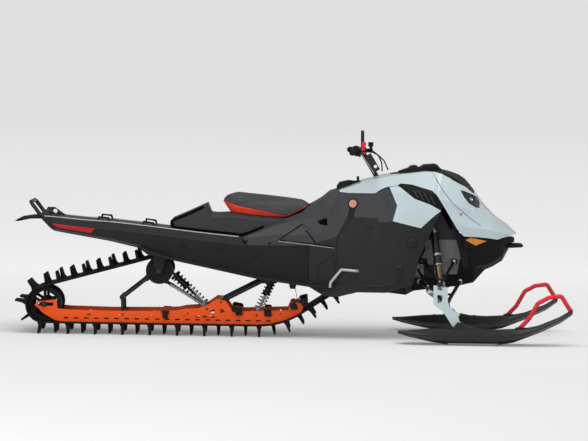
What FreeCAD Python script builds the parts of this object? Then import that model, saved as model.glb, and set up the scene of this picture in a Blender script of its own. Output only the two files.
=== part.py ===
"""A long-track mountain snowmobile, built as separate named pieces.

Millimetres. X points forward, Y to the rider's left and Z up. The ground is Z = 0 and the
middle of the whole length is X = 0. Every piece is built in its place on the vehicle.
"""
import FreeCAD, Part
import math
import os
from FreeCAD import Vector

# Track loop
TRACK_WIDTH = 406.0
BELT = 8.0
LUG = 64.0
LUG_COUNT = 51
TRACK_LENGTH = 4191.0
LUG_TIP_Z = 0.0
BELT_IN_Z = LUG_TIP_Z + LUG + BELT
REAR_IDLER_R = 103.0
REAR_IDLER_X = -1483.0
REAR_IDLER_Z = BELT_IN_Z + REAR_IDLER_R
TOP_IDLER_R = 82.0
TOP_IDLER_X = -793.0
TOP_IDLER_Z = 389.0
RAIL_CURVE_R = 470.0
RAIL_CURVE_X = -195.0
APPROACH = 33.0
SPROCKET_R = 90.0

# Slide rails and the wheels on them
RAIL_Y = 145.0
RAIL_T = 18.0
RAIL_OUT = RAIL_Y + RAIL_T / 2
IDLER_Y = 112.0
AXLE_R = 10.0
FRONT_WHEEL_X = 18.0
FRONT_WHEEL_Z = 187.0
FRONT_WHEEL_R = 21.0

# Tunnel and running boards
TRACK_GAP = 13.0
TUNNEL_T = 4.0
TUNNEL_HALF = TRACK_WIDTH / 2 + TRACK_GAP + TUNNEL_T
TUNNEL_BEVEL = 45.0
TUNNEL_FLAT = TUNNEL_HALF - TUNNEL_BEVEL + 1.0
BOARD_WIDTH = 110.0
BOARD_HALF = TUNNEL_HALF + BOARD_WIDTH
BOARD_T = 5.0

# Engine block's distance from the tunnel's sides
ENGINE_GAP = 20.0

# Body panels, drawn round a tunnel of this half width
PANEL_T = 6.0
BODY_DRAWN_HALF = 220.0
SEAM = 4.0
GROOVE = 3.5
POCKET = 5.0

# Front suspension and skis
SKI_Y = 457.0
SKI_HALF = 88.0
SKI_BOLT_X = 1000.0
SKI_BOLT_Z = 112.0
KING_LOW = (925.0, 420.0, 238.0)
KING_TOP = (887.0, 402.0, 352.0)
STUD_R = 7.0
EYE_R = 15.0
PIN_GAP = 0.4
SKI_BOLT_R = 9.0

# Steering
POST_FOOT = (520.0, 0.0, 952.0)
POST_LEAN = 31.0
POST_R = 15.0
BAR_Z = 1122.0
BAR_R = 11.0
BAR_HALF = 362.0
BAR_REACH = 172.0
STRAP_TOP = 1250.0
PUMP = (474.0, 108.0, 1130.0)
BAR_ALONG = 196.0

# Holes in the rear bumper's brackets
TIE_DOWN_X = -1450.0
TIE_DOWN_Z = 722.0
TIE_DOWN_R = 13.0

# Steering rods
TIE_X = 816.0
TIE_Y = 405.0
TIE_Z = 330.0
PITMAN = (752.0, 26.0, 440.0)
TIE_PIN_R = 6.0
TIE_EYE_R = 14.0

# Suspension of the track
FRONT_SHOCK_TOP = (-103.0, 352.0)

os.makedirs("parts", exist_ok=True)
BUILT = {}


def save(node, shape):
    """Write one finished piece."""
    shape.exportStep("parts/" + node + ".step")
    BUILT[node] = shape


def vec(x, y, z):
    """Short name for a point."""
    return Vector(x, y, z)


def lerp_line(line, x):
    """Height of a polyline of (x, z) points at one x."""
    if x <= line[0][0]:
        return line[0][1]
    for a, b in zip(line, line[1:]):
        if x <= b[0]:
            return a[1] + (b[1] - a[1]) * (x - a[0]) / (b[0] - a[0])
    return line[-1][1]


def slopes(xs, ys):
    """Slope at each point of a curve that never swings past its points."""
    steps = [(b - a) / (q - p) for a, b, p, q in zip(ys, ys[1:], xs, xs[1:])]
    found = [steps[0]]
    for before, after in zip(steps, steps[1:]):
        found.append(0.0 if before * after <= 0 else 2 * before * after / (before + after))
    return found + [steps[-1]]


def flow(xs, ys, x):
    """Value at x of the smooth curve through the points."""
    bend = slopes(xs, ys)
    i = max(k for k in range(len(xs) - 1) if xs[k] <= x)
    width = xs[i + 1] - xs[i]
    t = (x - xs[i]) / width
    return (ys[i] * (2 * t ** 3 - 3 * t ** 2 + 1) + width * bend[i] * (t ** 3 - 2 * t ** 2 + t)
            + ys[i + 1] * (3 * t ** 2 - 2 * t ** 3) + width * bend[i + 1] * (t ** 3 - t ** 2))


def fine_steps(xs, longest):
    """The given places with more between them, none further apart than the longest step."""
    places = []
    for a, b in zip(xs, xs[1:]):
        count = math.ceil((b - a) / longest)
        places += [a + (b - a) * k / count for k in range(count)]
    return places + [xs[-1]]


def coil(top, foot, radius, wire, turns):
    """Wire spring round the line from top to foot, six-sided and flattened to twelve steps a turn."""
    a = Vector(*top)
    way = (Vector(*foot) - a).normalize()
    length = (Vector(*foot) - a).Length
    side = way.cross(vec(0, 1, 0)).normalize()
    other = way.cross(side)
    rings = []
    for k in range(turns * 12 + 1):
        turn = math.radians(30 * k)
        out = side * math.cos(turn) + other * math.sin(turn)
        middle = a + way * (length * k / (turns * 12)) + out * radius
        rings.append([middle + (out * math.cos(t) + way * math.sin(t)) * wire
                      for t in (math.radians(60 * n) for n in range(6))])
    return skin(rings)


def face_xz(points, y):
    """Flat face with a side outline at one width."""
    pts = [vec(px, y, pz) for px, pz in points]
    return Part.Face(Part.makePolygon(pts + pts[:1]))


def prism_xz(points, y0, y1):
    """Solid with a side outline, between two widths."""
    return face_xz(points, y0).extrude(vec(0, y1 - y0, 0))


def prism_xy(points, z0, z1):
    """Solid with a plan outline, between two heights."""
    pts = [vec(px, py, z0) for px, py in points]
    return Part.Face(Part.makePolygon(pts + pts[:1])).extrude(vec(0, 0, z1 - z0))


def box(x0, x1, y0, y1, z0, z1):
    """Block between two corners."""
    return Part.makeBox(x1 - x0, y1 - y0, z1 - z0, vec(x0, y0, z0))


def rod(a, b, r):
    """Round bar from a to b."""
    a = Vector(*a)
    b = Vector(*b)
    return Part.makeCylinder(r, (b - a).Length, a, b - a)


def cross_rod(x, z, y0, y1, r):
    """Round bar across the vehicle."""
    return Part.makeCylinder(r, y1 - y0, vec(x, y0, z), vec(0, 1, 0))


def ring(x, z, y0, y1, r_out, r_in):
    """Round ring or sleeve across the vehicle."""
    return cross_rod(x, z, y0, y1, r_out).cut(cross_rod(x, z, y0 - 1, y1 + 1, r_in))


def skin(stations):
    """Closed solid through outlines with the same number of corners."""
    faces = []
    for ring_a, ring_b in zip(stations, stations[1:]):
        n = len(ring_a)
        for i in range(n):
            a0, a1 = ring_a[i], ring_a[(i + 1) % n]
            b0, b1 = ring_b[i], ring_b[(i + 1) % n]
            normal = (a1 - a0).cross(b0 - a0)
            off = abs(normal.dot(b1 - a0)) / normal.Length if normal.Length > 1e-6 else 1.0
            if off < 1e-7:
                faces.append(Part.Face(Part.makePolygon([a0, a1, b1, b0, a0])))
                continue
            for tri in ((a0, a1, b1), (a0, b1, b0)):
                area = (tri[1] - tri[0]).cross(tri[2] - tri[0]).Length
                if area > 1e-3:
                    faces.append(Part.Face(Part.makePolygon(list(tri) + [tri[0]])))
    for cap in (stations[0], stations[-1]):
        faces.append(Part.Face(Part.makePolygon(cap + cap[:1])))
    shell = Part.Shell(faces)
    solid = Part.Solid(shell)
    if solid.Volume < 0:
        solid.reverse()
    return solid


def bent_path(points, bend):
    """Straight runs joined by tangent arcs."""
    pts = [Vector(*p) for p in points]
    edges = []
    last = pts[0]
    for i in range(1, len(pts) - 1):
        before = (pts[i - 1] - pts[i]).normalize()
        after = (pts[i + 1] - pts[i]).normalize()
        angle = before.getAngle(after)
        if abs(angle - math.pi) < 1e-3:
            continue
        cut = bend / math.tan(angle / 2.0)
        start = pts[i] + before * cut
        end = pts[i] + after * cut
        middle = (before + after).normalize()
        centre = pts[i] + middle * (bend / math.sin(angle / 2.0))
        top = centre - middle * bend
        if (start - last).Length > 1e-6:
            edges.append(Part.LineSegment(last, start).toShape())
        edges.append(Part.Arc(start, top, end).toShape())
        last = end
    edges.append(Part.LineSegment(last, pts[-1]).toShape())
    return Part.Wire(edges)


def bent_bar(points, bend, r):
    """Round bar along straight runs joined by tangent arcs."""
    path = bent_path(points, bend)
    start = Vector(*points[0])
    way = Vector(*points[1]) - start
    ring_wire = Part.Wire(Part.Circle(start, way, r).toShape())
    return path.makePipeShell([ring_wire], True, False)


def tube_along(points, bend, r):
    """Solid bar, checked to be a solid."""
    shape = bent_bar(points, bend, r)
    if shape.ShapeType != "Solid":
        shape = shape.Solids[0]
    return shape


# Track loop

def tangent_loop(circles, grow):
    """Edges of the belt line round circles taken in order, all on its left."""
    n = len(circles)
    ways = []
    for i in range(n):
        cx, cz, r = circles[i]
        dx, dz, s = circles[(i + 1) % n]
        reach = math.hypot(dx - cx, dz - cz)
        ways.append(math.atan2(dz - cz, dx - cx) - math.asin((s - r) / reach))
    parts = []
    for i in range(n):
        cx, cz, r = circles[i]
        r = r + grow
        a0 = ways[i - 1] - math.pi / 2
        a1 = ways[i] - math.pi / 2
        while a1 < a0:
            a1 += 2 * math.pi
        parts.append(("arc", cx, cz, r, a0, a1))
        nx, nz, s = circles[(i + 1) % n]
        s = s + grow
        start = (cx + r * math.cos(a1), cz + r * math.sin(a1))
        end = (nx + s * math.cos(a1), nz + s * math.sin(a1))
        parts.append(("line", start, end))
    return parts


def loop_length(parts):
    """Length of a chain of arcs and straights."""
    total = 0.0
    for p in parts:
        if p[0] == "arc":
            total += p[3] * (p[5] - p[4])
        else:
            total += math.dist(p[1], p[2])
    return total


def belt_circles(climb):
    """Circles that the belt runs round, with the sprocket a given way up its straight climb."""
    a = math.radians(APPROACH)
    reach = RAIL_CURVE_R - SPROCKET_R
    x = RAIL_CURVE_X + reach * math.sin(a) + climb * math.cos(a)
    z = BELT_IN_Z + RAIL_CURVE_R - reach * math.cos(a) + climb * math.sin(a)
    return [
        (REAR_IDLER_X, REAR_IDLER_Z, REAR_IDLER_R),
        (RAIL_CURVE_X, BELT_IN_Z + RAIL_CURVE_R, RAIL_CURVE_R),
        (x, z, SPROCKET_R),
        (TOP_IDLER_X, TOP_IDLER_Z, TOP_IDLER_R),
    ]


def find_sprocket():
    """The sprocket stands where the belt comes to its full length."""
    low, high = 50.0, 700.0
    for _ in range(60):
        mid = (low + high) / 2
        if loop_length(tangent_loop(belt_circles(mid), BELT / 2)) < TRACK_LENGTH:
            low = mid
        else:
            high = mid
    return low


CIRCLES = belt_circles(find_sprocket())
SPROCKET_X, SPROCKET_Z = CIRCLES[2][:2]


def loop_face(grow):
    """Face inside one side of the belt."""
    edges = []
    for p in tangent_loop(CIRCLES, grow):
        if p[0] == "arc":
            _, cx, cz, r, a0, a1 = p
            pts = [vec(cx + r * math.cos(a), 0, cz + r * math.sin(a)) for a in (a0, (a0 + a1) / 2, a1)]
            edges.append(Part.Arc(*pts).toShape())
        else:
            edges.append(Part.LineSegment(vec(p[1][0], 0, p[1][1]), vec(p[2][0], 0, p[2][1])).toShape())
    return Part.Face(Part.Wire(edges))


def loop_point(distance):
    """Point on the belt's outer side and the way out from it."""
    for p in tangent_loop(CIRCLES, BELT / 2):
        if p[0] == "arc":
            _, cx, cz, r, a0, a1 = p
            run = r * (a1 - a0)
            if distance <= run:
                a = a0 + distance / r
                out = (math.cos(a), math.sin(a))
                grown = r + BELT / 2
                return (cx + grown * out[0], cz + grown * out[1]), out
        else:
            run = math.dist(p[1], p[2])
            if distance <= run:
                t = distance / run
                way = ((p[2][0] - p[1][0]) / run, (p[2][1] - p[1][1]) / run)
                out = (way[1], -way[0])
                x = p[1][0] + t * (p[2][0] - p[1][0]) + out[0] * BELT / 2
                z = p[1][1] + t * (p[2][1] - p[1][1]) + out[1] * BELT / 2
                return (x, z), out
        distance -= run
    raise ValueError("past the end of the loop")


def lug(place, out, y0, y1, base, tip, height, lift=1.0):
    """One tapered lug standing on the belt."""
    x, z = place
    way = (-out[1], out[0])

    def corner(along, up):
        return (x + way[0] * along + out[0] * up, z + way[1] * along + out[1] * up)

    half = [(base / 2, -lift), (base / 2, 1.0), (tip * 0.85, height * 0.25), (tip / 2, height)]
    outline = [corner(along, up) for along, up in half] + [corner(-along, up) for along,
                                                           up in reversed(half)]
    return prism_xz(outline, y0, y1)


def make_track():
    """Belt with rows of lugs, outer and middle rows by turns."""
    half = TRACK_WIDTH / 2
    belt = loop_face(BELT).cut(loop_face(0.0)).extrude(vec(0, TRACK_WIDTH, 0))
    belt.translate(vec(0, -half, 0))
    total = loop_length(tangent_loop(CIRCLES, BELT / 2))
    pitch = total / LUG_COUNT
    lugs = []
    for i in range(LUG_COUNT):
        place, out = loop_point((i + 0.5) * pitch)
        if i % 2:
            spans = [(-half + 4, -half + 112), (half - 112, half - 4)]
        else:
            spans = [(-112, -18), (18, 112)]
        for y0, y1 in spans:
            lugs.append(lug(place, out, y0, y1, 34, 11, LUG))
    return belt.fuse(lugs)


def spoked_wheel(x, z, y, radius, rim, hub):
    """Wheel with six windows in its disc."""
    wheel = ring(x, z, y - 12, y + 12, radius, rim)
    disc = cross_rod(x, z, y - 5, y + 5, rim + 1)
    windows = []
    for k in range(6):
        corners = []
        for reach, spread in ((hub + 8, 17), (rim - 5, 23), (rim - 5, -23), (hub + 8, -17)):
            a = math.radians(60 * k + spread)
            corners.append((x + reach * math.cos(a), z + reach * math.sin(a)))
        windows.append(prism_xz(corners, y - 6, y + 6))
    return wheel.fuse([disc.cut(windows), cross_rod(x, z, y - 14, y + 14, hub)])


def make_rear_idlers():
    """Both windowed rear wheels on their axle."""
    wheels = [spoked_wheel(REAR_IDLER_X, REAR_IDLER_Z, y, REAR_IDLER_R - 0.3, 84, 28) for y in (-IDLER_Y,
            IDLER_Y)]
    axle = cross_rod(REAR_IDLER_X, REAR_IDLER_Z, -RAIL_OUT - 14, RAIL_OUT + 14, AXLE_R)
    caps = [cross_rod(REAR_IDLER_X, REAR_IDLER_Z, y, y + 12, 17) for y in (-RAIL_OUT - 12, RAIL_OUT)]
    return wheels[0].fuse([wheels[1], axle] + caps)


def make_top_idlers():
    """Two plain wheels under the tunnel that lift the belt."""
    wheels = [ring(TOP_IDLER_X, TOP_IDLER_Z, y - 11, y + 11, TOP_IDLER_R - 0.3, 62) for y in (-RAIL_Y,
            RAIL_Y)]
    discs = [cross_rod(TOP_IDLER_X, TOP_IDLER_Z, y - 6, y + 6, 63) for y in (-RAIL_Y, RAIL_Y)]
    hubs = [cross_rod(TOP_IDLER_X, TOP_IDLER_Z, y - 16, y + 16, 26) for y in (-RAIL_Y, RAIL_Y)]
    reach = TUNNEL_HALF - TUNNEL_T - 0.1
    axle = cross_rod(TOP_IDLER_X, TOP_IDLER_Z, -reach, reach, AXLE_R)
    return wheels[0].fuse(wheels[1:] + discs + hubs + [axle])


def make_front_wheels():
    """Small wheels at the front ends of the rails, on one axle through both."""
    wheels = []
    for side in (-1, 1):
        for near, far, radius in ((1, 19, FRONT_WHEEL_R), (0.2, 22, 12)):
            y0, y1 = sorted((side * (RAIL_OUT + near), side * (RAIL_OUT + far)))
            wheels.append(cross_rod(FRONT_WHEEL_X, FRONT_WHEEL_Z, y0, y1, radius))
    axle = cross_rod(FRONT_WHEEL_X, FRONT_WHEEL_Z, -RAIL_OUT - 12, RAIL_OUT + 12, 8)
    return axle.fuse(wheels)


def make_drive_axle():
    """Axle through the tunnel with two toothed sprockets."""
    reach = TUNNEL_HALF - TUNNEL_T - 0.1
    parts = [cross_rod(SPROCKET_X, SPROCKET_Z, -reach, reach, 16)]
    for y in (-75, 75):
        parts.append(cross_rod(SPROCKET_X, SPROCKET_Z, y - 14, y + 14, SPROCKET_R - 12.0))
        for k in range(9):
            a = math.radians(40 * k)
            tip = (SPROCKET_X + (SPROCKET_R - 9) * math.cos(a), SPROCKET_Z + (SPROCKET_R - 9) * math.sin(a))
            parts.append(cross_rod(tip[0], tip[1], y - 12, y + 12, 8))
    return parts[0].fuse(parts[1:])


# Rails, arms and dampers of the track

RAIL_TOP = [
    (77, 184), (66, 204), (48, 208), (16, 205), (-3, 192), (-16, 160), (-282, 150), (-359, 166),
    (-391, 212), (-445, 224),
    (-503, 183), (-552, 166), (-639, 159), (-684, 148), (-784, 144), (-1087, 140), (-1344, 144),
    (-1404, 150), (-1410, 205), (-1525, 191), (-1544, 168),
]


def rail_bottom(x):
    """Height of the belt's inner side under the rail."""
    if x <= RAIL_CURVE_X:
        return BELT_IN_Z
    return BELT_IN_Z + RAIL_CURVE_R - math.sqrt(RAIL_CURVE_R ** 2 - (x - RAIL_CURVE_X) ** 2)


RAIL_GAP = 0.4


def make_rail(side):
    """One slide rail, curved up at its front, with its slots and holes."""
    low = [(-1516, 148), (-1497, 126), (-1420, BELT_IN_Z + 8), (-1380, BELT_IN_Z + RAIL_GAP)]
    low.append((RAIL_CURVE_X, BELT_IN_Z + RAIL_GAP))
    for x in (-120, -60, -10, 35, 66):
        low.append((x, rail_bottom(x) + RAIL_GAP + 1.2))
    y0 = side * RAIL_Y - RAIL_T / 2
    rail = prism_xz(RAIL_TOP + low, y0, y0 + RAIL_T)
    cuts = []
    for k in range(21):
        x = -1352 + 61 * k
        cuts.append([(x - 14, 90), (x + 14, 90), (x + 14, 99), (x - 14, 99)])
    for x in (-557, -514, -471):
        cuts.append([(x - 16, 108), (x + 16, 108), (x + 12, 120), (x - 18, 120)])
    cuts += [[(-420, 171), (-391, 144), (-424, 138)], [(-488, 150), (-456, 162), (-458, 138), (-478, 134)]]
    slot_low, slot_high = REAR_IDLER_Z - AXLE_R, REAR_IDLER_Z + AXLE_R
    cuts.append([(-1522, slot_low), (-1430, slot_low), (-1430, slot_high), (-1522, slot_high)])
    holes = [prism_xz(outline, y0 - 1, y0 + RAIL_T + 1) for outline in cuts]
    for x in (-1225, -1030, -835, -640, -60, 0):
        holes.append(cross_rod(x, rail_bottom(x) + 44, y0 - 1, y0 + RAIL_T + 1, 5))
    holes.append(cross_rod(FRONT_WHEEL_X, FRONT_WHEEL_Z, y0 - 1, y0 + RAIL_T + 1, 8))
    return rail.cut(holes)


def make_rail_blocks():
    """Black stops and wheel brackets bolted to the outer side of each rail."""
    outlines = [
        [(-779, 150), (-729, 148), (-735, 128), (-740, 100), (-767, 102), (-771, 128)],
        [(-357, 172), (-345, 182), (-300, 174), (-289, 166), (-289, 130), (-326, 123), (-330, 142),
         (-352, 150)],
        [(-161, 158), (-150, 168), (-122, 168), (-115, 160), (-115, 123), (-156, 123)],
        [(46, 210), (58, 228), (96, 239), (104, 232), (106, 190), (88, 178), (70, 190), (62, 206)],
    ]
    parts = []
    for side in (-1, 1):
        y0, y1 = sorted((side * RAIL_OUT, side * (RAIL_OUT + 14)))
        parts += [prism_xz(outline, y0, y1) for outline in outlines]
    return Part.makeCompound(parts)


def arm_pair(a, b, y, r, cross_a, cross_b):
    """Two side bars joined by a cross tube at each end."""
    parts = [rod((a[0], -y, a[1]), (b[0], -y, b[1]), r), rod((a[0], y, a[1]), (b[0], y, b[1]), r)]
    parts.append(cross_rod(a[0], a[1], -cross_a, cross_a, r + 5))
    parts.append(cross_rod(b[0], b[1], -cross_b, cross_b, r + 5))
    return parts[0].fuse(parts[1:])


INNER = RAIL_Y - RAIL_T / 2


def make_rear_arm():
    """Rear arm with its links down to the rails and up round the top wheels' axle."""
    arm = arm_pair((-873, 335), (-1017, 219), 100, 12, 100, 100)
    links = [rod((-1017, y, 219), (-1012, y, 122), 10) for y in (-100, 100)]
    foot = cross_rod(-1012, 122, -INNER, INNER, 13)
    idler = (TOP_IDLER_X, TOP_IDLER_Z)
    links_up = [rod((-873, y, 335), (idler[0], y, idler[1]), 11) for y in (-100, 100)]
    links_up += [rod((idler[0], y, idler[1]), (-724, y, 372), 11) for y in (-100, 100)]
    links_up.append(cross_rod(-724, 372, -108, 108, 12))
    links_up.append(cross_rod(idler[0], idler[1], -110, 110, AXLE_R + 6))
    for y in (-50, 50):
        outline = [(-808, 391), (-782, 399), (-742, 309), (-760, 300)]
        links_up.append(prism_xz(outline, y - 4, y + 4))
        links_up.append(rod((-756, y, 312), (-506, y, 162), 6))
    clear = cross_rod(TOP_IDLER_X, TOP_IDLER_Z, -120, 120, AXLE_R)
    return arm.fuse(links + [foot] + links_up).cut(clear)


def make_track_shocks():
    """Rear and front dampers of the track."""
    rear = spring_shock((-724, 0, 372), (-503, 0, 160), 19, 30, 0.42)
    top_x, top_z = FRONT_SHOCK_TOP
    front = spring_shock((top_x, 0, top_z), (-205, 0, 128), 19, 27, 0.46)
    return [rear, front]


def make_rails():
    """Both rails with the tubes that tie them."""
    tubes = [cross_rod(x, z, -INNER - 5, INNER + 5, 9) for x, z in ((-503, 160), (-205, 128), (40, 172))]
    return make_rail(1).fuse([make_rail(-1)] + tubes)


def shock_parts(top, foot, body_r, body_share):
    """Damper body, rod, end collar and eyes."""
    a = Vector(*top)
    b = Vector(*foot)

    def at(t):
        p = a + (b - a) * t
        return (p.x, p.y, p.z)

    parts = [rod(top, foot, body_r * 0.4), rod(at(0.07), at(body_share), body_r)]
    parts.append(rod(at(body_share - 0.05), at(body_share + 0.02), body_r + 4))
    for end in (top, foot):
        parts.append(cross_rod(end[0], end[2], end[1] - 17, end[1] + 17, 14))
    return parts, at


def spring_shock(top, foot, body_r, coil_r, body_share):
    """Damper with a wire spring held between two seats."""
    parts, at = shock_parts(top, foot, body_r, body_share)
    parts.append(rod(at(0.08), at(0.13), coil_r + 4))
    parts.append(rod(at(0.87), at(0.91), coil_r + 4))
    spring = coil(at(0.12), at(0.88), coil_r, 3.6, 9)
    return parts[0].fuse(parts[1:] + [spring])


def shock(top, foot, body_r):
    """Gas damper with a thick body over a slim rod, and a small bottle beside it."""
    parts, at = shock_parts(top, foot, body_r, 0.55)
    parts.append(rod(at(0.6), at(0.86), body_r * 0.8))
    parts.append(rod(at(0.86), at(0.9), body_r + 2))
    return parts[0].fuse(parts[1:])


def make_front_arm():
    """Arm from the tunnel down to the rails."""
    return arm_pair((-151, 345), (-419, 205), 104, 13, TUNNEL_HALF - TUNNEL_T, INNER)


# Tunnel and what sits on it

TUNNEL_TOP = [(-1498, 706), (-1422, 702), (-1257, 687), (-1111, 680), (-920, 662), (-691, 637), (-553, 622),
              (-293, 598), (-60, 600), (120, 612), (450, 612)]
TUNNEL_LOW = [(-1498, 690), (-1444, 636), (-1421, 622), (-1360, 611), (-1088, 566), (-918, 528),
              (-861, 487),
              (-719, 458), (-547, 423), (-188, 352), (107, 312), (200, 300), (450, 300)]
TUNNEL_X = [-1498, -1444, -1421, -1360, -1257, -1088, -918, -861, -719, -547, -293, -188, -60, 107, 200,
            450]


def tunnel_section(x, inset):
    """Corners of one half of the tunnel's outline, top to bottom."""
    top = lerp_line(TUNNEL_TOP, x)
    low = lerp_line(TUNNEL_LOW, x)
    drop = min(TUNNEL_BEVEL, (top - low) * 0.55)
    return [(TUNNEL_FLAT - inset * 0.6, top - inset), (TUNNEL_HALF - inset, top - drop - inset * 0.4),
            (TUNNEL_HALF - inset, low)]


def make_tunnel():
    """Folded sheet over the track with its front wall, cross tubes and hangers."""
    stations = []
    for x in TUNNEL_X:
        outer = tunnel_section(x, 0.0)
        inner = tunnel_section(x, TUNNEL_T)
        half = [(-y, z) for y, z in reversed(outer)] + outer
        back = [(y, z) for y, z in reversed(inner)] + [(-y, z) for y, z in inner]
        stations.append([vec(x, y, z) for y, z in half + back])
    shell = skin(stations)
    wall = box(444, 450, -TUNNEL_HALF, TUNNEL_HALF, 300, 564)
    hangers = []
    for a, b in ((-TUNNEL_HALF, TUNNEL_T - TUNNEL_HALF), (TUNNEL_HALF - TUNNEL_T, TUNNEL_HALF)):
        hangers.append(prism_xz([(-836, 520), (-736, 520), (TOP_IDLER_X + 19, TOP_IDLER_Z - 6),
                                 (TOP_IDLER_X - 19, TOP_IDLER_Z - 6)], a, b))
        hangers.append(cross_rod(TOP_IDLER_X, TOP_IDLER_Z, a, b, 20))
        hangers.append(prism_xz([(-200, 380), (-102, 380), (-128, 326), (-174, 326)], a, b))
        hangers.append(prism_xz([(-20, 350), (42, 350), (26, 296), (-4, 296)], a, b))
    tubes = [cross_rod(x, z, -TUNNEL_HALF, TUNNEL_HALF, 8) for x, z in ((11, 310), FRONT_SHOCK_TOP)]
    return shell.fuse([wall] + tubes + hangers + make_pressings())


def make_pressings():
    """Raised shapes pressed into the tunnel's sides."""
    outlines = [
        [(-923, 552), (-743, 525), (-743, 512), (-908, 536)],
        [(-672, 556), (-650, 556), (-590, 521), (-470, 531), (-418, 556), (-398, 556), (-350, 526),
         (-218, 528),
         (-218, 519), (-356, 516), (-404, 544), (-414, 544), (-466, 520), (-594, 510)],
        [(-394, 458), (-337, 459), (-300, 494), (-241, 510), (-241, 500), (-296, 484), (-332, 449),
         (-388, 448)],
        [(-320, 449), (-296, 450), (-211, 496), (-188, 506), (-172, 506), (-204, 486), (-290, 440),
         (-312, 440)],
    ]
    parts = []
    for side in (-1, 1):
        y0, y1 = sorted((side * (TUNNEL_HALF - 1), side * (TUNNEL_HALF + 2.5)))
        parts += [prism_xz(outline, y0, y1) for outline in outlines]
    return parts


def make_board(side):
    """Running board with its rolled outer edge."""
    xs = [-900, -860, -719, -547, -188, 107, 250]
    outs = [232, 300, BOARD_HALF, BOARD_HALF, BOARD_HALF, BOARD_HALF, BOARD_HALF]
    stations = []
    for x, out in zip(xs, outs):
        z = lerp_line([(-900, 530), (-861, 503), (-719, 466), (-547, 431), (-188, 357), (107, 318),
                       (250, 312)], x)
        pts = [(TUNNEL_HALF, z), (out, z), (out, z + 16), (out - 6, z + 16), (out - 6, z + BOARD_T),
               (TUNNEL_HALF, z + BOARD_T)]
        stations.append([vec(x, y * side, zz) for y, zz in pts])
    board = skin(stations)
    slots = []
    for k in range(13):
        x = -700 + 64 * k
        y0, y1 = sorted((side * (TUNNEL_HALF + 18), side * (BOARD_HALF - 18)))
        slots.append(box(x, x + 40, y0, y1, 280, 520))
    return board.cut(slots)


def make_rear_bumper():
    """Hoop on two side plates, each with its tie-down hole."""
    top = (-1572, 790)
    foot = (-1500, 694)
    hoop = tube_along([(foot[0] + 40, -150, foot[1] - 1), (foot[0], -150, foot[1] + 2),
                       (top[0], -150, top[1]),
                       (top[0], 150, top[1]), (foot[0], 150, foot[1] + 2),
                       (foot[0] + 40, 150, foot[1] - 1)], 30, 12)
    outline = [(-1516, 694), (-1497, 747), (-1453, 747), (-1383, 699), (-1383, 690), (-1516, 690)]
    plates = []
    for y in (-150, 150):
        hole = cross_rod(TIE_DOWN_X, TIE_DOWN_Z, y - 10, y + 10, TIE_DOWN_R)
        plates.append(prism_xz(outline, y - 4, y + 4).cut(hole))
    hoop = hoop.cut([cross_rod(TIE_DOWN_X, TIE_DOWN_Z, y - 14, y + 14, TIE_DOWN_R) for y in (-150, 150)])
    return hoop.fuse(plates)


def make_snow_flap():
    """Sheet of rubber behind the tunnel."""
    outline = [(-1666, 675), (-1645, 689), (-1572, 700), (-1498, 700), (-1498, 692), (-1572, 690),
               (-1640, 674)]
    return prism_xz(outline, -172, 172)


def make_cargo_anchors():
    """Four low hoops on the tunnel's top."""
    parts = []
    for x0, x1 in ((-902, -822), (-1172, -1093)):
        for y in (-150, 150):
            z0 = lerp_line(TUNNEL_TOP, x0)
            z1 = lerp_line(TUNNEL_TOP, x1)
            outline = [(x0, z0), (x0 + 8, z0 + 28), (x1 - 8, z1 + 28), (x1, z1), (x1 - 10, z1 + 0.5),
                       (x1 - 18, z1 + 18),
                       (x0 + 18, z0 + 18), (x0 + 10, z0 + 0.5)]
            parts.append(prism_xz(outline, y - 5, y + 5))
    return Part.makeCompound(parts)


# Body panels

BODY = {
    -293: [(0, 606), (150, 604), (216, 600), (217, 598), (218, 560), (218, 540)],
    -38: [(0, 725), (120, 716), (180, 690), (222, 620), (222, 560), (222, 470)],
    105: [(0, 800), (105, 790), (195, 720), (238, 620), (240, 480), (240, 312)],
    187: [(0, 850), (112, 838), (212, 745), (250, 640), (256, 470), (256, 262)],
    226: [(0, 884), (115, 872), (224, 760), (258, 650), (266, 460), (266, 254)],
    284: [(0, 902), (118, 888), (250, 800), (272, 680), (284, 450), (284, 258)],
    394: [(0, 943), (122, 928), (268, 850), (292, 730), (302, 450), (302, 286)],
    555: [(0, 988), (130, 973), (288, 880), (318, 720), (312, 450), (308, 286)],
    720: [(0, 1014), (134, 998), (292, 886), (322, 700), (312, 460), (306, 330)],
    838: [(0, 1030), (138, 1010), (284, 872), (314, 740), (306, 560), (304, 330)],
    902: [(0, 1022), (140, 1006), (272, 846), (300, 740), (292, 620), (290, 330)],
    1007: [(0, 990), (134, 950), (248, 808), (272, 700), (264, 623), (258, 330)],
    1041: [(0, 968), (128, 922), (234, 796), (260, 686), (254, 622), (248, 330)],
    1098: [(0, 903), (114, 870), (218, 768), (244, 678), (238, 623), (232, 330)],
    1135: [(0, 850), (106, 820), (206, 746), (230, 674), (226, 622), (222, 330)],
    1167: [(0, 811), (100, 790), (196, 728), (220, 668), (216, 622), (210, 330)],
    1246: [(0, 734), (84, 724), (158, 688), (182, 652), (180, 612), (176, 330)],
    1300: [(0, 700), (62, 692), (116, 668), (142, 644), (140, 612), (136, 330)],
    1357: [(0, 648), (40, 645), (66, 638), (78, 632), (76, 618), (74, 330)],
}
BODY_STEP = 58.0
FACET_LINE = [(869, 862), (923, 793), (990, 774), (1083, 742), (1164, 687), (1230, 664), (1357, 636)]
FACET_PUSH = [(869, 0), (960, 9), (1100, 10), (1190, 0)]


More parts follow.
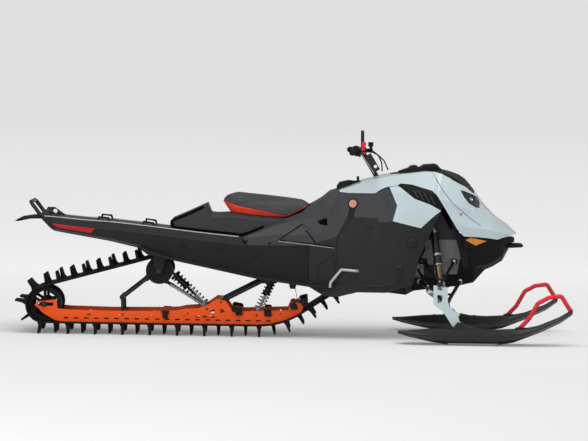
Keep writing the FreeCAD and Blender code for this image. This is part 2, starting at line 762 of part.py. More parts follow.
def facet_corner(x, above, below):
    """Corner between two others that draws the crease low on the nose; straight between them elsewhere."""
    if x <= FACET_LINE[0][0]:
        t = 0.4
    else:
        want = lerp_line(FACET_LINE, x)
        t = min(max((above[1] - want) / (above[1] - below[1]), 0.25), 0.9)
    y = above[0] + (below[0] - above[0]) * t - lerp_line(FACET_PUSH, x)
    return (y, above[1] + (below[1] - above[1]) * t)


def body_rows():
    """Corners of one half of the body at close steps along smooth lines."""
    xs = sorted(BODY)
    wider = TUNNEL_HALF / BODY_DRAWN_HALF
    rows = []
    for x in fine_steps(xs, BODY_STEP):
        half = []
        for i in range(6):
            y = flow(xs, [BODY[k][i][0] for k in xs], x)
            half.append((y * wider, flow(xs, [BODY[k][i][1] for k in xs], x)))
        half.insert(3, facet_corner(x, half[2], half[3]))
        rows.append((x, half))
    return rows


def body_solid(inset):
    """Closed skin of the body, moved inwards by the inset."""
    stations = []
    for x, corners in body_rows():
        half = []
        for i, (y, z) in enumerate(corners):
            yy = max(y - inset, 0.0) if i else 0.0
            zz = z - inset * (1.0 if i < 2 else 0.5 if i == 2 else 0.0)
            half.append((yy, zz))
        pts = half + [(-y, z) for y, z in reversed(half[1:])]
        stations.append([vec(x, y, z) for y, z in pts])
    return skin(stations)


HOOD_EDGE = [(284, 880), (327, 876), (492, 880), (533, 905), (579, 919), (629, 925), (650, 939), (714, 934),
             (833, 901), (863, 874)]
NOSE_REAR = [(836, 1200), (836, 1008), (869, 956), (900, 897), (863, 874), (897, 820), (938, 754),
             (986, 675),
             (1028, 630)]
NOSE_LOW = [(1102, 626), (1173, 620), (1234, 610), (1276, 622), (1340, 637)]
NOSE_SEAM = [(836, 1008), (869, 956), (900, 897), (911, 877)]
HOOD_SEAM = [(545, 909), (579, 919), (629, 925), (650, 939)]
LAMP = [(1008, 901), (1031, 898), (1078, 879), (1122, 857), (1129, 830), (1126, 797), (1100, 800),
        (1059, 826),
        (1032, 858)]
VENT_LOW = [(888, 783), (826, 817), (727, 853), (646, 916), (629, 925)]
COVER = [(579, 919), (629, 925), (646, 916), (727, 853), (826, 817), (888, 783), (835, 742), (768, 678),
         (600, 718),
         (625, 810)]
ARCH = [(888, 783), (835, 668), (755, 476), (727, 342), (682, 262)]
BELLY_EDGE = [(107, 312), (193, 262), (252, 254), (311, 262), (393, 288), (603, 288), (682, 262)]


def region(points, solid):
    """What of a solid lies within an outline in the side view."""
    return solid.common(prism_xz(points, -400, 400))


CONSOLE_LINE = [(-293, 598), (-38, 714), (60, 752), (105, 798)]
SHOULDER_LINE = [(107, 560), (-60, 556), (-262, 554)]
CONSOLE_POCKET = [(-64, 592), (-60, 604), (60, 688), (109, 660), (150, 560)]
CONSOLE_HOLE = [(150, 708), (213, 730), (216, 680), (174, 676)]
CONSOLE_NOTCH = [(508, 896), (545, 913), (575, 912), (594, 854), (566, 800), (548, 846), (530, 884)]
PANEL_STEP = [(268, 606), (345, 728), (441, 722), (454, 668), (489, 680), (367, 505), (387, 422),
              (390, 345), (262, 330)]
TOE_RECESS = [(155, 394), (160, 448), (252, 512), (262, 470), (262, 350), (200, 340), (160, 350)]
PANEL_LIP = [(394, 325), (638, 345), (662, 367), (668, 356), (642, 331), (394, 311)]
PANEL_KNOB = [(690, 572), (698, 588), (728, 592), (740, 580), (732, 566), (702, 562)]
COVER_PLAN = [(589, 58), (640, 84), (703, 98), (800, 108), (838, 136), (902, 150), (960, 152), (1007, 144),
              (1041, 128), (1090, 98), (1100, 60)]
LAMP_INSET = 2.0


def both_sides(points):
    """Cutter or core with a side outline right across the vehicle."""
    return prism_xz(points, -400, 400)


def seam_cutters(line):
    """Narrow cutters along a line in the side view."""
    cutters = []
    for (xa, za), (xb, zb) in zip(line, line[1:]):
        run = math.hypot(xb - xa, zb - za)
        nx = (za - zb) / run * SEAM / 2
        nz = (xb - xa) / run * SEAM / 2
        cutters.append(both_sides([(xa - nx, za - nz), (xb - nx, zb - nz), (xb + nx, zb + nz),
                                   (xa + nx, za + nz)]))
    return cutters


def make_bump(core):
    """Raised air intake on top of the black cover."""
    rows = [(640, 56, 1007), (700, 82, 1027), (714, 84, 1041), (748, 86, 1044), (760, 86, 1032),
            (772, 88, 1035),
            (792, 90, 1048), (861, 90, 1054), (873, 88, 1047), (896, 82, 1023)]
    stations = []
    for x, half, top in rows:
        pts = [(-half, 990), (half, 990), (half, top - 10), (half - 12, top), (12 - half, top),
               (-half, top - 10)]
        stations.append([vec(x, y, z) for y, z in pts])
    bump = skin(stations).cut(core)
    grooves = [box(x, x + 10, -60, 60, top - 5, 1100) for x, top in ((806, 1049), (826, 1051), (846, 1053))]
    return bump.cut(grooves)


def make_panels():
    """Hood, top cover, nose, vents, side covers, console and side panels, cut from one closed skin."""
    outer = body_solid(0.0)
    core = body_solid(PANEL_T)
    shell = outer.cut(core)
    rind = outer.cut(body_solid(GROOVE))
    proud = body_solid(-GROOVE).cut(outer)
    low = body_solid(POCKET)
    pit = outer.cut(low)
    floor = low.cut(body_solid(POCKET + PANEL_T))
    plan = COVER_PLAN + [(x, -y) for x, y in reversed(COVER_PLAN)]
    visor_zone = prism_xy(plan, 860, 1100)
    hood = region([(286, 960)] + HOOD_EDGE + [(902, 830), (1357, 700), (1357, 1200), (286, 1200)], shell)
    hood = hood.cut(visor_zone)
    visor = shell.common(visor_zone).fuse(make_bump(core))
    nose_zone = NOSE_REAR + NOSE_LOW + [(1400, 640), (1400, 1200)]
    nose = region(nose_zone, shell).cut(visor_zone)
    lamp_zone = both_sides(LAMP)
    lamps = body_solid(LAMP_INSET).cut(body_solid(LAMP_INSET + 12.0)).common(lamp_zone)
    seams = [cutter.common(rind) for cutter in seam_cutters(NOSE_SEAM) + seam_cutters(HOOD_SEAM)]
    nose = nose.cut(lamp_zone).cut(seams)
    hood = hood.cut(both_sides(nose_zone)).cut(lamp_zone).cut(seams)
    vent = region(HOOD_EDGE[5:] + [(880, 904), (888, 850), (905, 815)] + VENT_LOW, shell)
    vent = vent.cut([hood, nose])
    slats = []
    for k in range(5):
        x = 700 + 34 * k
        z = 868 - 10 * k
        slats.append([(x, z), (x + 8, z), (x + 30, z + 34), (x + 22, z + 34)])
    vent = vent.cut([region(slat, rind) for slat in slats])
    cover = region(COVER, shell).cut(seams)
    console_zone = CONSOLE_LINE + [(187, 900), (226, 960), (286, 960)] + HOOD_EDGE[:6] + [
        (579, 919), (625, 810), (600, 718), (520, 706), (510, 735), (328, 740), (266, 616),
        (146, 578)] + SHOULDER_LINE
    console = region(console_zone, shell).cut(hood)
    for pocket in (CONSOLE_POCKET, CONSOLE_NOTCH, CONSOLE_HOLE):
        console = console.cut(region(pocket, pit)).fuse(region(pocket, floor))
    lower_zone = [(146, 578), (266, 616), (328, 740), (510, 735), (520, 706), (600, 718), (768, 678),
                  (835, 742),
                  (888, 783)] + ARCH[1:] + list(reversed(BELLY_EDGE)) + [(107, 560)]
    lower = region(lower_zone, shell)
    lower = lower.cut(region(PANEL_STEP, pit)).fuse(region(PANEL_STEP, floor))
    lower = lower.cut(region(TOE_RECESS, pit)).fuse(region(TOE_RECESS, floor))
    lower = lower.fuse([region(PANEL_LIP, proud), region(PANEL_KNOB, proud)])
    console = console.cut([hood, cover, lower])
    return hood, visor, nose, vent, cover, console, lower, lamps, outer


def make_belly():
    """Black lower cover under the engine and round the front."""
    stations = []
    rows = [
        (450, 200, 296, 210, 314, 215, 330), (690, 180, 268, 205, 300, 215, 330),
        (740, 108, 288, 118, 340, 122, 366),
        (900, 108, 310, 118, 345, 122, 366), (1000, 108, 320, 124, 370, 130, 392),
        (1030, 110, 328, 146, 424, 182, 560),
        (1054, 112, 334, 158, 440, 198, 590), (1100, 112, 345, 164, 446, 200, 595),
        (1168, 110, 423, 162, 458, 190, 595),
        (1214, 100, 442, 150, 474, 172, 595), (1274, 80, 478, 118, 512, 140, 600),
        (1315, 60, 553, 84, 575, 96, 606),
    ]
    for x, low_half, low, lip_half, lip, top_half, top in rows:
        half = [(low_half, low), (lip_half, lip), (top_half, top)]
        pts = half + [(-y, z) for y, z in reversed(half)]
        stations.append([vec(x, y, z) for y, z in pts])
    liners = []
    outline = [(948, 738), (1000, 560), (1034, 440), (1060, 440), (1060, 610), (1030, 618), (985, 672)]
    for side in (-1, 1):
        y0, y1 = sorted((side * 192, side * 199))
        liners.append(prism_xz(outline, y0, y1))
    return skin(stations).fuse(liners)


def make_bulkhead():
    """Front frame that carries the arms."""
    core = box(862, 1040, -118, 118, 392, 600)
    tower = prism_xz([(800, 600), (1030, 600), (960, 760), (838, 780)], -110, 110)
    legs = [box(806, 862, y, y + 14, 450, 600) for y in (-118, 104)]
    top_bar = cross_rod(850, 668, -207, 207, 9)
    frame = core.fuse([tower, top_bar] + legs)
    bearing = rod(post_point(-420), post_point(-450), 26)
    clear = rod(post_point(-470), post_point(-400), POST_R + 0.4)
    plate = box(768, 800, -9, 9, 575, 640)
    outline = [(800, 461), (784, 488), (806, 535), (876, 596), (916, 580), (991, 508), (958, 491),
               (952, 457)]
    webs = [prism_xz(outline, y, y + 5) for y in (-123, 118)]
    return frame.fuse([plate, bearing] + webs).cut(clear).removeSplitter()


def make_engine():
    """Engine as one plain block."""
    half = TUNNEL_HALF - ENGINE_GAP
    return box(450, 680, -half, half, 330, 620)


# Seat

SEAT_ROWS = [
    # x, then half width and height at the foot, at the crease and at the top
    (-419, 62, 812, 84, 819, 74, 826), (-400, 74, 783, 104, 812, 92, 848),
    (-374, 88, 747, 120, 803, 104, 857),
    (-325, 100, 732, 130, 785, 112, 859), (-268, 106, 721, 138, 773, 116, 853),
    (-150, 108, 719, 136, 750, 114, 843),
    (-33, 106, 719, 126, 730, 108, 831), (69, 98, 772, 108, 780, 98, 818), (103, 92, 793, 98, 797, 92, 803),
]


def make_seat():
    """Wedge seat: top, crease and foot line run along its length."""
    stations = []
    for x, foot_half, foot, crease_half, crease, top_half, top in SEAT_ROWS:
        half = [(foot_half, foot), (crease_half, crease), (top_half, top - 4), (top_half * 0.5, top + 1)]
        pts = half + [(-y, z) for y, z in reversed(half)]
        stations.append([vec(x, y, z) for y, z in pts])
    return skin(stations)


def make_seat_base():
    """Base under the seat with the storage wedge behind it."""
    rows = [
        (-734, 104, 640, 96, 686), (-718, 118, 638, 110, 702), (-620, 134, 628, 118, 745),
        (-512, 142, 620, 118, 796),
        (-487, 142, 617, 112, 739), (-449, 142, 613, 110, 736), (-365, 142, 606, 110, 740),
        (-293, 142, 600, 110, 735),
        (-40, 122, 600, 104, 716),
    ]
    stations = []
    for x, low_half, low, top_half, top in rows:
        edge = top - min(26, (top - low) * 0.4)
        half = [(low_half, low), (low_half, edge), (top_half, top)]
        pts = half + [(-y, z) for y, z in reversed(half)]
        stations.append([vec(x, y, z) for y, z in pts])
    return skin(stations)


# Front end

def make_gauge():
    """Flat display box with its key knob on the console's top."""
    stations = []
    for x, half, low, top in ((268, 44, 860, 912), (284, 64, 870, 934), (338, 70, 890, 946),
                              (362, 58, 900, 944)):
        pts = [(-half, low), (half, low), (half, top - 6), (half - 10, top), (10 - half, top),
               (-half, top - 6)]
        stations.append([vec(x, y, z) for y, z in pts])
    knob = rod((398, -44, 900), (394, -44, 972), 8)
    return skin(stations).fuse([knob, box(350, 410, -58, -30, 900, 946)])


SKIRT_PLAN = [(1026, 236), (1119, 222), (1167, 206), (1246, 170), (1300, 130), (1345, 76)]
REFLECTOR_T = 8.0


def make_reflectors():
    """Amber side reflector of each side, lying on the band under the nose."""
    outline = [(1039, 608), (1069, 622), (1169, 602), (1101, 575)]
    parts = []
    for s in (-1, 1):
        seat_line = [(x, s * half) for x, half in SKIRT_PLAN[:4]]
        face_line = [(x, s * (half + REFLECTOR_T)) for x, half in reversed(SKIRT_PLAN[:4])]
        parts.append(prism_xy(seat_line + face_line, 550, 640).common(prism_xz(outline, -400, 400)))
    return Part.makeCompound(parts)


def make_skirt():
    """Black band under the nose that carries the reflectors."""
    stations = []
    for x, half in SKIRT_PLAN:
        low = lerp_line([(1026, 560), (1170, 570), (1345, 590)], x)
        top = lerp_line([(1026, 622), (1173, 619), (1230, 611), (1264, 611), (1345, 617)], x)
        stations.append([vec(x, y, z) for y, z in ((-half, low), (half, low), (half, top), (-half, top))])
    return skin(stations)


def make_front_bumper():
    """Bumper that stands out under the nose."""
    return tube_along([(1180, -120, 562), (1330, -95, 566), (1392, -60, 568), (1392, 60, 568),
                       (1330, 95, 566),
                       (1180, 120, 562)], 24, 10)


def king_point(side, t):
    """Point on the leg's turning axis, from the low eye (0) to the top eye (1)."""
    x, y, z = [low + (top - low) * t for low, top in zip(KING_LOW, KING_TOP)]
    return vec(x, y * side, z)


def king_sleeve(side, t, r, half):
    """Cylinder round the leg's turning axis."""
    axis = (king_point(side, 1) - king_point(side, 0)).normalize()
    middle = king_point(side, t)
    return Part.makeCylinder(r, 2 * half, middle - axis * half, axis)


def a_arm(side, x_back, x_front, y_in, z_in, t, r):
    """Two bars from the frame meeting at the outer eye."""
    eye = king_point(side, t)
    tip = (eye.x, eye.y, eye.z)
    parts = []
    for x in (x_back, x_front):
        parts.append(rod((x, side * y_in, z_in), tip, r))
        parts.append(Part.makeCylinder(r + 5, 36, vec(x - 18, side * y_in, z_in), vec(1, 0, 0)))
    parts.append(king_sleeve(side, t, EYE_R, 14))
    arm = parts[0].fuse(parts[1:])
    return arm.cut(king_sleeve(side, t, STUD_R + PIN_GAP, 60))


def make_lower_arm(side):
    """Lower arm with the plate that the damper stands on."""
    arm = a_arm(side, 770, 1020, 130, 352, 0, 11)
    y0, y1 = sorted((side * 288, side * 312))
    return arm.fuse(box(862, 964, y0, y1, 279, 291))


def make_front_shock(side):
    """Damper between the front frame and the lower arm."""
    return shock((850, side * 190, 668), (900, side * 300, 306), 23)


def make_leg(side):
    """Spindle from the stud through both eyes down to the ski bolt."""
    y = side * SKI_Y
    outline = [(842, 348), (862, 348), (868, 324), (899, 316), (901, 340), (925, 340), (929, 254),
               (939, 221),
               (966, 202), (1003, 186), (992, 166), (1000, 138), (1024, 122), (1022, 98), (984, 94),
               (956, 112),
               (918, 170), (898, 198), (860, 222), (843, 242)]
    blade = prism_xz(outline, y - 11, y + 11)
    slot = prism_xz([(865, 294), (899, 290), (892, 252), (868, 244)], y - 12, y + 12)
    blade = blade.cut(slot)
    bolt = cross_rod(SKI_BOLT_X, SKI_BOLT_Z, y - 46, y + 46, SKI_BOLT_R)
    stud = king_sleeve(side, 0.5, STUD_R, 82)
    arms = []
    for t, half in ((0.5, 12), (-0.26, 8)):
        hub = king_sleeve(side, t, 13, half)
        p = king_point(side, t)
        y0, y1 = sorted((p.y, y))
        arms += [hub, box(p.x - 11, p.x + 11, y0, y1, p.z - half * 0.8, p.z + half * 0.8)]
    return blade.fuse([bolt, stud, make_steer_arm(side)] + arms)


SKI_ROWS = [
    # x, keel z, hull z, edge z, deck z, rib z, width share
    (637, 62, 66, 70, 76, 76.5, 0.55), (700, 44, 50, 58, 66, 78, 0.92), (828, 16, 24, 50, 58, 90, 1.0),
    (935, 0, 16, 48, 56, 96, 1.0), (1221, 0, 16, 50, 58, 90, 1.0), (1322, 18, 30, 60, 68, 96, 1.0),
    (1377, 40, 46, 74, 82, 98, 0.97), (1477, 80, 84, 106, 113, 120, 0.88),
    (1594, 136, 139, 158, 164, 168, 0.66),
    (1666, 188, 190, 206, 212, 222, 0.34),
]


def make_ski(side):
    """Boat-shaped ski with a rib each side of the leg's foot."""
    y0 = side * SKI_Y
    stations = []
    for x, keel, hull, edge, deck, rib, share in SKI_ROWS:
        w = SKI_HALF * share
        ridge = deck + 5.0 * min(max((x - 1280) / 100.0, 0.0), 1.0)
        half = [(7, keel), (9, hull), (w * 0.45, hull + (edge - hull) * 0.2), (w, edge), (w, deck - 2),
                (w * 0.9, deck),
                (w * 0.84, ridge), (w * 0.74, ridge), (w * 0.68, deck), (w * 0.58, deck), (w * 0.44, rib),
                (w * 0.32, rib), (w * 0.26, deck - 4)]
        pts = [(y, z) for y, z in half] + [(-y, z) for y, z in reversed(half)]
        stations.append([vec(x, y0 + y, z) for y, z in pts])
    body = skin(stations)
    saddle = []
    for s in (-1, 1):
        a, b = sorted((y0 + s * 26, y0 + s * 40))
        outline = [(860, 60), (960, 100), (984, 134), (1016, 134), (1042, 110), (1122, 94), (1230, 90),
                   (1230, 60)]
        saddle.append(prism_xz(outline, a, b))
    bracket = prism_xz([(1322, 66), (1330, 104), (1352, 112), (1400, 104), (1420, 88)], y0 - 18, y0 + 18)
    body = body.fuse(saddle + [bracket])
    clear = cross_rod(SKI_BOLT_X, SKI_BOLT_Z, y0 - 60, y0 + 60, SKI_BOLT_R + PIN_GAP)
    return body.cut(clear)


def make_ski_loop(side):
    """Bent grab loop of one ski."""
    y = side * SKI_Y
    path = [(1346, 92), (1410, 160), (1461, 252), (1524, 287), (1598, 298), (1654, 212)]
    return tube_along([(px, y, pz) for px, pz in path], 20, 13)


def make_toe_hook(side):
    """Bent bar that the rider's boot hooks under, on the running board."""
    y = side * (BOARD_HALF - 4)
    path = [(232, y, 316), (236, y, 346), (298, y, 424), (384, y, 418), (400, side * 296, 414)]
    return tube_along(path, 12, 8)


def make_tie_rod(side):
    """Steering rod from the middle out to the leg's arm."""
    inner = (PITMAN[0], side * PITMAN[1], PITMAN[2])
    outer = (TIE_X, side * TIE_Y, TIE_Z)
    way = (Vector(*outer) - Vector(*inner)).normalize() * 9
    bar = rod(inner, (outer[0] - way.x, outer[1] - way.y, outer[2] - way.z), 8)
    axis = (king_point(side, 1) - king_point(side, 0)).normalize()
    eye = Part.makeCylinder(TIE_EYE_R, 20, Vector(*outer) - axis * 10, axis)
    ball = Part.makeCylinder(11, 20, vec(inner[0], inner[1], inner[2] - 10), vec(0, 0, 1))
    whole = bar.fuse([ball, eye])
    return whole.cut(Part.makeCylinder(TIE_PIN_R + PIN_GAP, 60, Vector(*outer) - axis * 30, axis))


def make_steer_arm(side):
    """Arm that reaches back from the leg under the rod's outer eye."""
    y_eye = side * TIE_Y
    axis = (king_point(side, 1) - king_point(side, 0)).normalize()
    eye = vec(TIE_X, y_eye, TIE_Z)
    pin = Part.makeCylinder(TIE_PIN_R, 44, eye - axis * 28, axis)
    pad = Part.makeCylinder(TIE_EYE_R, 12, eye - axis * 32, axis)
    plan = [(TIE_X - 4, y_eye - side * 12), (TIE_X + 8, y_eye - side * 12), (884, side * 446),
            (884, side * 460),
            (862, side * 466)]
    plate = prism_xy(plan, TIE_Z - 30, TIE_Z - 20)
    return pad.fuse([pin, plate])


# Steering

def post_point(along, forward=0.0, y=0.0):
    """Point on the steering axis, with an offset square to it."""
    a = math.radians(POST_LEAN)
    x = POST_FOOT[0] - math.sin(a) * along + math.cos(a) * forward
    z = POST_FOOT[2] + math.cos(a) * along + math.sin(a) * forward
    return (x, y, z)


def make_post():
    """Post with the short arm that moves both steering rods."""
    foot = post_point(-565)
    post = rod(foot, post_point(BAR_ALONG), POST_R)
    arm = rod(post_point(-552), post_point(-552, -70), 9)
    return post.fuse(arm)


def make_riser():
    """Block with a round window that carries the bar."""
    block = Part.makeBox(40, 56, 112, vec(-14, -28, 0))
    hole = Part.makeCylinder(11, 80, vec(10, -40, 28), vec(0, 1, 0))
    block = block.cut(hole)
    block.rotate(vec(0, 0, 0), vec(0, 1, 0), -POST_LEAN)
    block.translate(Vector(*post_point(50, 14)))
    return block


def bar_points(side):
    """Outer end, outer bend and inner bend of the bar on one side."""
    c = post_point(BAR_ALONG)
    return [vec(c[0] - 68, side * BAR_HALF, BAR_Z),
            vec(c[0] - 22, side * (BAR_HALF - BAR_REACH), BAR_Z + 2),
            vec(c[0], side * 60, c[2])]


def make_handlebar():
    """Bar from grip to grip through the clamp."""
    right, left = bar_points(-1), bar_points(1)
    points = right + left[::-1]
    return tube_along([(p.x, p.y, p.z) for p in points], 40, BAR_R)


def grip_line(side):
    """End of the bar and the way in along the grip."""
    end, bend, _ = bar_points(side)
    return end, (bend - end).normalize()


def make_grips():
    """Grip sleeves on both ends of the bar."""
    parts = []
    for s in (-1, 1):
        end, way = grip_line(s)
        start = end - way * 6
        grip = Part.makeCylinder(17, 118, start, way)
        bore = Part.makeCylinder(BAR_R, 130, end, way)
        parts.append(grip.cut(bore))
    return Part.makeCompound(parts)


def make_controls():
    """Switch blocks and levers beside the grips."""
    parts = []
    for s in (-1, 1):
        end, way = grip_line(s)
        at = end + way * 118
        block = Part.makeCylinder(26, 42, at, way)
        bore = Part.makeCylinder(BAR_R, 60, at - way * 5, way)
        block = block.cut(bore)
        lever = rod((at.x + 22, at.y - s * 20, at.z - 4), (at.x + 14, at.y + s * 96, at.z - 22), 6)
        block = block.fuse(lever)
        if s > 0:
            parts.append(make_brake_pump())
        parts.append(block)
    return Part.makeCompound(parts)


def make_brake_pump():
    """Brake cylinder across the vehicle with its square tank above, held in front of the bar."""
    x, y, z = PUMP
    cylinder = Part.makeCylinder(12, 60, vec(x, y - 30, z), vec(0, 1, 0))
    tank = box(x - 16, x + 14, y - 23, y + 23, z + 19, z + 46)
    neck = box(x - 8, x + 8, y - 10, y + 10, z, z + 20)
    holder = box(x - 76, x - 4, y - 9, y + 9, z - 18, z + 6)
    return cylinder.fuse([tank, neck, holder])


def make_clamp():
    """Block that holds the bar on the post."""
    c = post_point(BAR_ALONG)
    block = box(c[0] - 24, c[0] + 24, -44, 44, c[2] - 22, c[2] + 26)
    return block


def make_strap():
    """Upright grab loop over the clamp."""
    c = post_point(BAR_ALONG)
    return tube_along([(c[0] + 2, -62, c[2] + 3), (c[0], -62, STRAP_TOP - 9), (c[0], 62, STRAP_TOP - 9),
                       (c[0] + 2, 62, c[2] + 3)], 26, 9)


def make_cables():
    """Cables from the controls down towards the console."""
    x, y, z = PUMP
    hose = tube_along([(x, y - 30, z), (x, y - 58, z), (517, 40, 1099), (553, 32, 1067), (579, 30, 1010)], 20, 4)
    wire = tube_along([(424, -90, 1125), (484, -70, 1118), (517, -50, 1099), (537, -36, 1055),
                       (541, -30, 1004)], 20, 4)
    return Part.makeCompound([hose, wire])


def pair(make):
    """Left and right pieces of one node."""
    return Part.makeCompound([make(1), make(-1)])


def compound(shape):
    """All solids of a shape as one piece."""
    return Part.makeCompound(shape.Solids)


def save_chassis():
    """Everything that stays still."""
    save("track", make_track())
    wheels = [make_rear_idlers(), make_top_idlers(), make_front_wheels(), make_drive_axle()]
    save("track_wheels", Part.makeCompound(wheels))
    tunnel = make_tunnel()
    save("tunnel", tunnel)
    rails = make_rails()
    save("rails", rails)
    rear_arm = make_rear_arm().cut(rails)
    front_arm = make_front_arm().cut(rails)
    save("track_arms", Part.makeCompound([rear_arm, front_arm]))
    shocks = [piece.cut([rails, rear_arm, front_arm, tunnel]) for piece in make_track_shocks()]
    save("track_shocks", Part.makeCompound([max(piece.Solids,
                                                key=lambda part: part.Volume) for piece in shocks]))
    save("rail_blocks", make_rail_blocks())
    save("limiter_strap", prism_xz([(19.4, 310), (22.4, 310), (51.4, 172), (48.4, 172)], -15,
                                   15).cut(rails))
    boards = pair(make_board)
    save("running_boards", boards)
    rear_bumper = make_rear_bumper().cut(tunnel)
    rear_bumper = max(rear_bumper.Solids, key=lambda piece: piece.Volume)
    save("rear_bumper", rear_bumper)
    save("snow_flap", make_snow_flap().cut([tunnel, rear_bumper]))
    save("cargo_anchors", compound(make_cargo_anchors().cut(tunnel)))
    engine = make_engine()
    save("engine_block", engine)
    bulkhead = make_bulkhead()
    belly = make_belly().cut([engine, bulkhead, box(444, 450, -400, 400, 0, 900)])
    save("front_frame", bulkhead)
    hood, visor, nose, vent, cover, console, lower, lamps, outer = make_panels()
    post_way = rod(post_point(-700), post_point(200), POST_R + 8)
    save("headlights", compound(lamps.cut(visor)))
    save("hood", hood.cut(post_way))
    save("gauge", make_gauge().cut(outer))
    save("top_cover", visor)
    skirt = make_skirt().cut([belly, bulkhead])
    save("belly_pan", belly.fuse(skirt))
    save("nose", nose.cut(skirt))
    save("reflectors", compound(make_reflectors().cut(skirt)))
    bumper = make_front_bumper().cut([belly, skirt])
    save("front_bumper", max(bumper.Solids, key=lambda piece: piece.Volume))
    seat_base = make_seat_base().cut(tunnel)
    console = max(console.cut([tunnel, seat_base]).Solids, key=lambda piece: piece.Volume)
    save("seat_base", seat_base)
    save("console", console)
    save("seat", make_seat().cut([seat_base, console]))
    panels = compound(lower.cut([tunnel, belly, boards]))
    save("side_panels", panels)
    save("side_covers", compound(cover.cut([tunnel, belly, boards])))
    hooks = [make_toe_hook(s).cut([boards, panels]) for s in (1, -1)]
    save("toe_hooks", Part.makeCompound([max(hook.Solids,
                                             key=lambda piece: piece.Volume) for hook in hooks]))
    save("vents", compound(vent.cut([tunnel, belly])))
    lower_arms = [make_lower_arm(s).cut([belly, bulkhead]) for s in (1, -1)]
    upper_arms = [a_arm(s, 800, 980, 130, 470, 1, 9).cut([belly, bulkhead]) for s in (1, -1)]
    save("front_arms", Part.makeCompound(lower_arms + upper_arms))
    shocks = [make_front_shock(s).cut([bulkhead] + lower_arms) for s in (1, -1)]
    save("front_shocks", Part.makeCompound(shocks))


def save_steered():
    """Legs, steering rods and skis."""
    for name, side in (("left", 1), ("right", -1)):
        save("leg_" + name, make_leg(side))
        save("tie_rod_" + name, make_tie_rod(side))
        ski = make_ski(side)
        save("ski_" + name, ski)
        loop = make_ski_loop(side).cut(ski)
        save("ski_loop_" + name, max(loop.Solids, key=lambda piece: piece.Volume))


def save_handlebar():
    """Everything that turns with the bar."""
    clamp = make_clamp()
    bar = make_handlebar()
    riser = make_riser()
    post = make_post()
    save("steering_post", post)
    bar = bar.fuse(riser.fuse(clamp)).cut(post)
    save("handlebar", bar)
    save("grips", make_grips())
    save("controls", compound(make_controls().cut(bar)))
    strap = make_strap().cut([bar, clamp])
    save("grab_strap", max(strap.Solids, key=lambda piece: piece.Volume))
    save("control_cables", compound(make_cables().cut(bar)))


def main():
    """Build and write every piece, then list them."""
    save_chassis()
    save_steered()
    save_handlebar()
    for node in sorted(BUILT):
        shape = BUILT[node]
        print(node, len(shape.Solids), shape.isValid(), round(shape.Volume / 1000))


if __name__ == "__main__":
    main()
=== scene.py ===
"""Looks of a long-track mountain snowmobile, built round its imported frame."""
import math
from functools import lru_cache
import bmesh
import bpy
from bpy.props import FloatProperty, FloatVectorProperty, IntProperty, PointerProperty
from mathutils import Matrix, Vector
from mathutils.bvhtree import BVHTree


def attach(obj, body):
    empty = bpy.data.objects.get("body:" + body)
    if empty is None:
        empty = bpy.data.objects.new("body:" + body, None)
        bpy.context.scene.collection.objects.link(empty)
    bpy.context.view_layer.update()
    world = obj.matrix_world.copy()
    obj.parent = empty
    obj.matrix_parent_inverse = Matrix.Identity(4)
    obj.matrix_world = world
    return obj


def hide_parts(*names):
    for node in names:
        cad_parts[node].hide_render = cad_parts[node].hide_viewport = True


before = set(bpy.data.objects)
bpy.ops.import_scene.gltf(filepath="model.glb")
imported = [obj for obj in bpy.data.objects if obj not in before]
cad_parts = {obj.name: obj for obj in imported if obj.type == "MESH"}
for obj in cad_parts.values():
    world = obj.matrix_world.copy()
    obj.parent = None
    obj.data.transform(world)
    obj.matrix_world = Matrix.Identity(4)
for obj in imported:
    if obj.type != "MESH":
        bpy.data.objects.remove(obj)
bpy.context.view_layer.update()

bl_info = {
    "name": "Snowmobile looks",
    "version": (1, 0, 0),
    "blender": (4, 5, 0),
    "location": "View3D > Sidebar > Snowmobile",
    "description": "Finishes, soft seat, small parts, stage and camera of a snowmobile",
    "category": "Object",
}

PHOTO_WIDTH = 588
SIDES = (-1, 1)


def number(name, default, description, **kind):
    """A value that a user can change."""
    return FloatProperty(name=name, description=description, default=default, **kind)


def length(name, default, description):
    """A size in metres that a user can change."""
    return number(name, default, description, unit="LENGTH", precision=4)


def colour(name, default, description):
    """A colour that a user can change."""
    return FloatVectorProperty(name=name, description=description, default=default, size=3, subtype="COLOR",
                               min=0.0, max=1.0)


class StageSettings(bpy.types.PropertyGroup):
    """Camera, floor and lights."""
    focal_px: number("Focal length in pixels", 2694.36, "Fitted to the photograph")
    eye_x: length("Camera X", 0.01217, "Along the vehicle")
    eye_y: length("Camera Y", -16.3294, "Out to the vehicle's right")
    eye_z: length("Camera Z", 1.56016, "Above the floor")
    pitch: number("Pitch", 0.052913, "Camera's tilt down", subtype="ANGLE")
    roll: number("Roll", 0.016296, "Turn about its own view", subtype="ANGLE")
    key_power: number("Key light", 190.0, "Power of the large light above")
    fill_power: number("Fill light", 130.0, "Power of the light beside the camera")
    world_light: number("Sky light", 0.42, "Strength of the even light")
    floor_lift: number("Floor glow", 0.462, "What the camera sees the floor brighter by")


class LookSettings(bpy.types.PropertyGroup):
    """Colours and grain of the finishes."""
    ice: colour("Body paint", (0.53, 0.63, 0.65), "Pale blue-grey hood, nose and side covers")
    charcoal: colour("Console", (0.038, 0.039, 0.042), "Dark grey console and seat base")
    dark: colour("Side panels", (0.0105, 0.0108, 0.0115), "Nearly black lower panels")
    black: colour("Black parts", (0.006, 0.006, 0.0065), "Moulded black parts")
    orange: colour("Slide rails", (1.0, 0.105, 0.008), "Orange coat of the rails")
    red: colour("Ski loops", (0.78, 0.02, 0.03), "Red grab loops and small controls")
    seat_red: colour("Seat sides", (0.80, 0.05, 0.018), "Red side cover of the seat")
    grain_scale: number("Grain scale", 420.0, "Fine moulded grain per metre")
    patch_scale: number("Patch scale", 3.0, "Broad tone changes per metre")


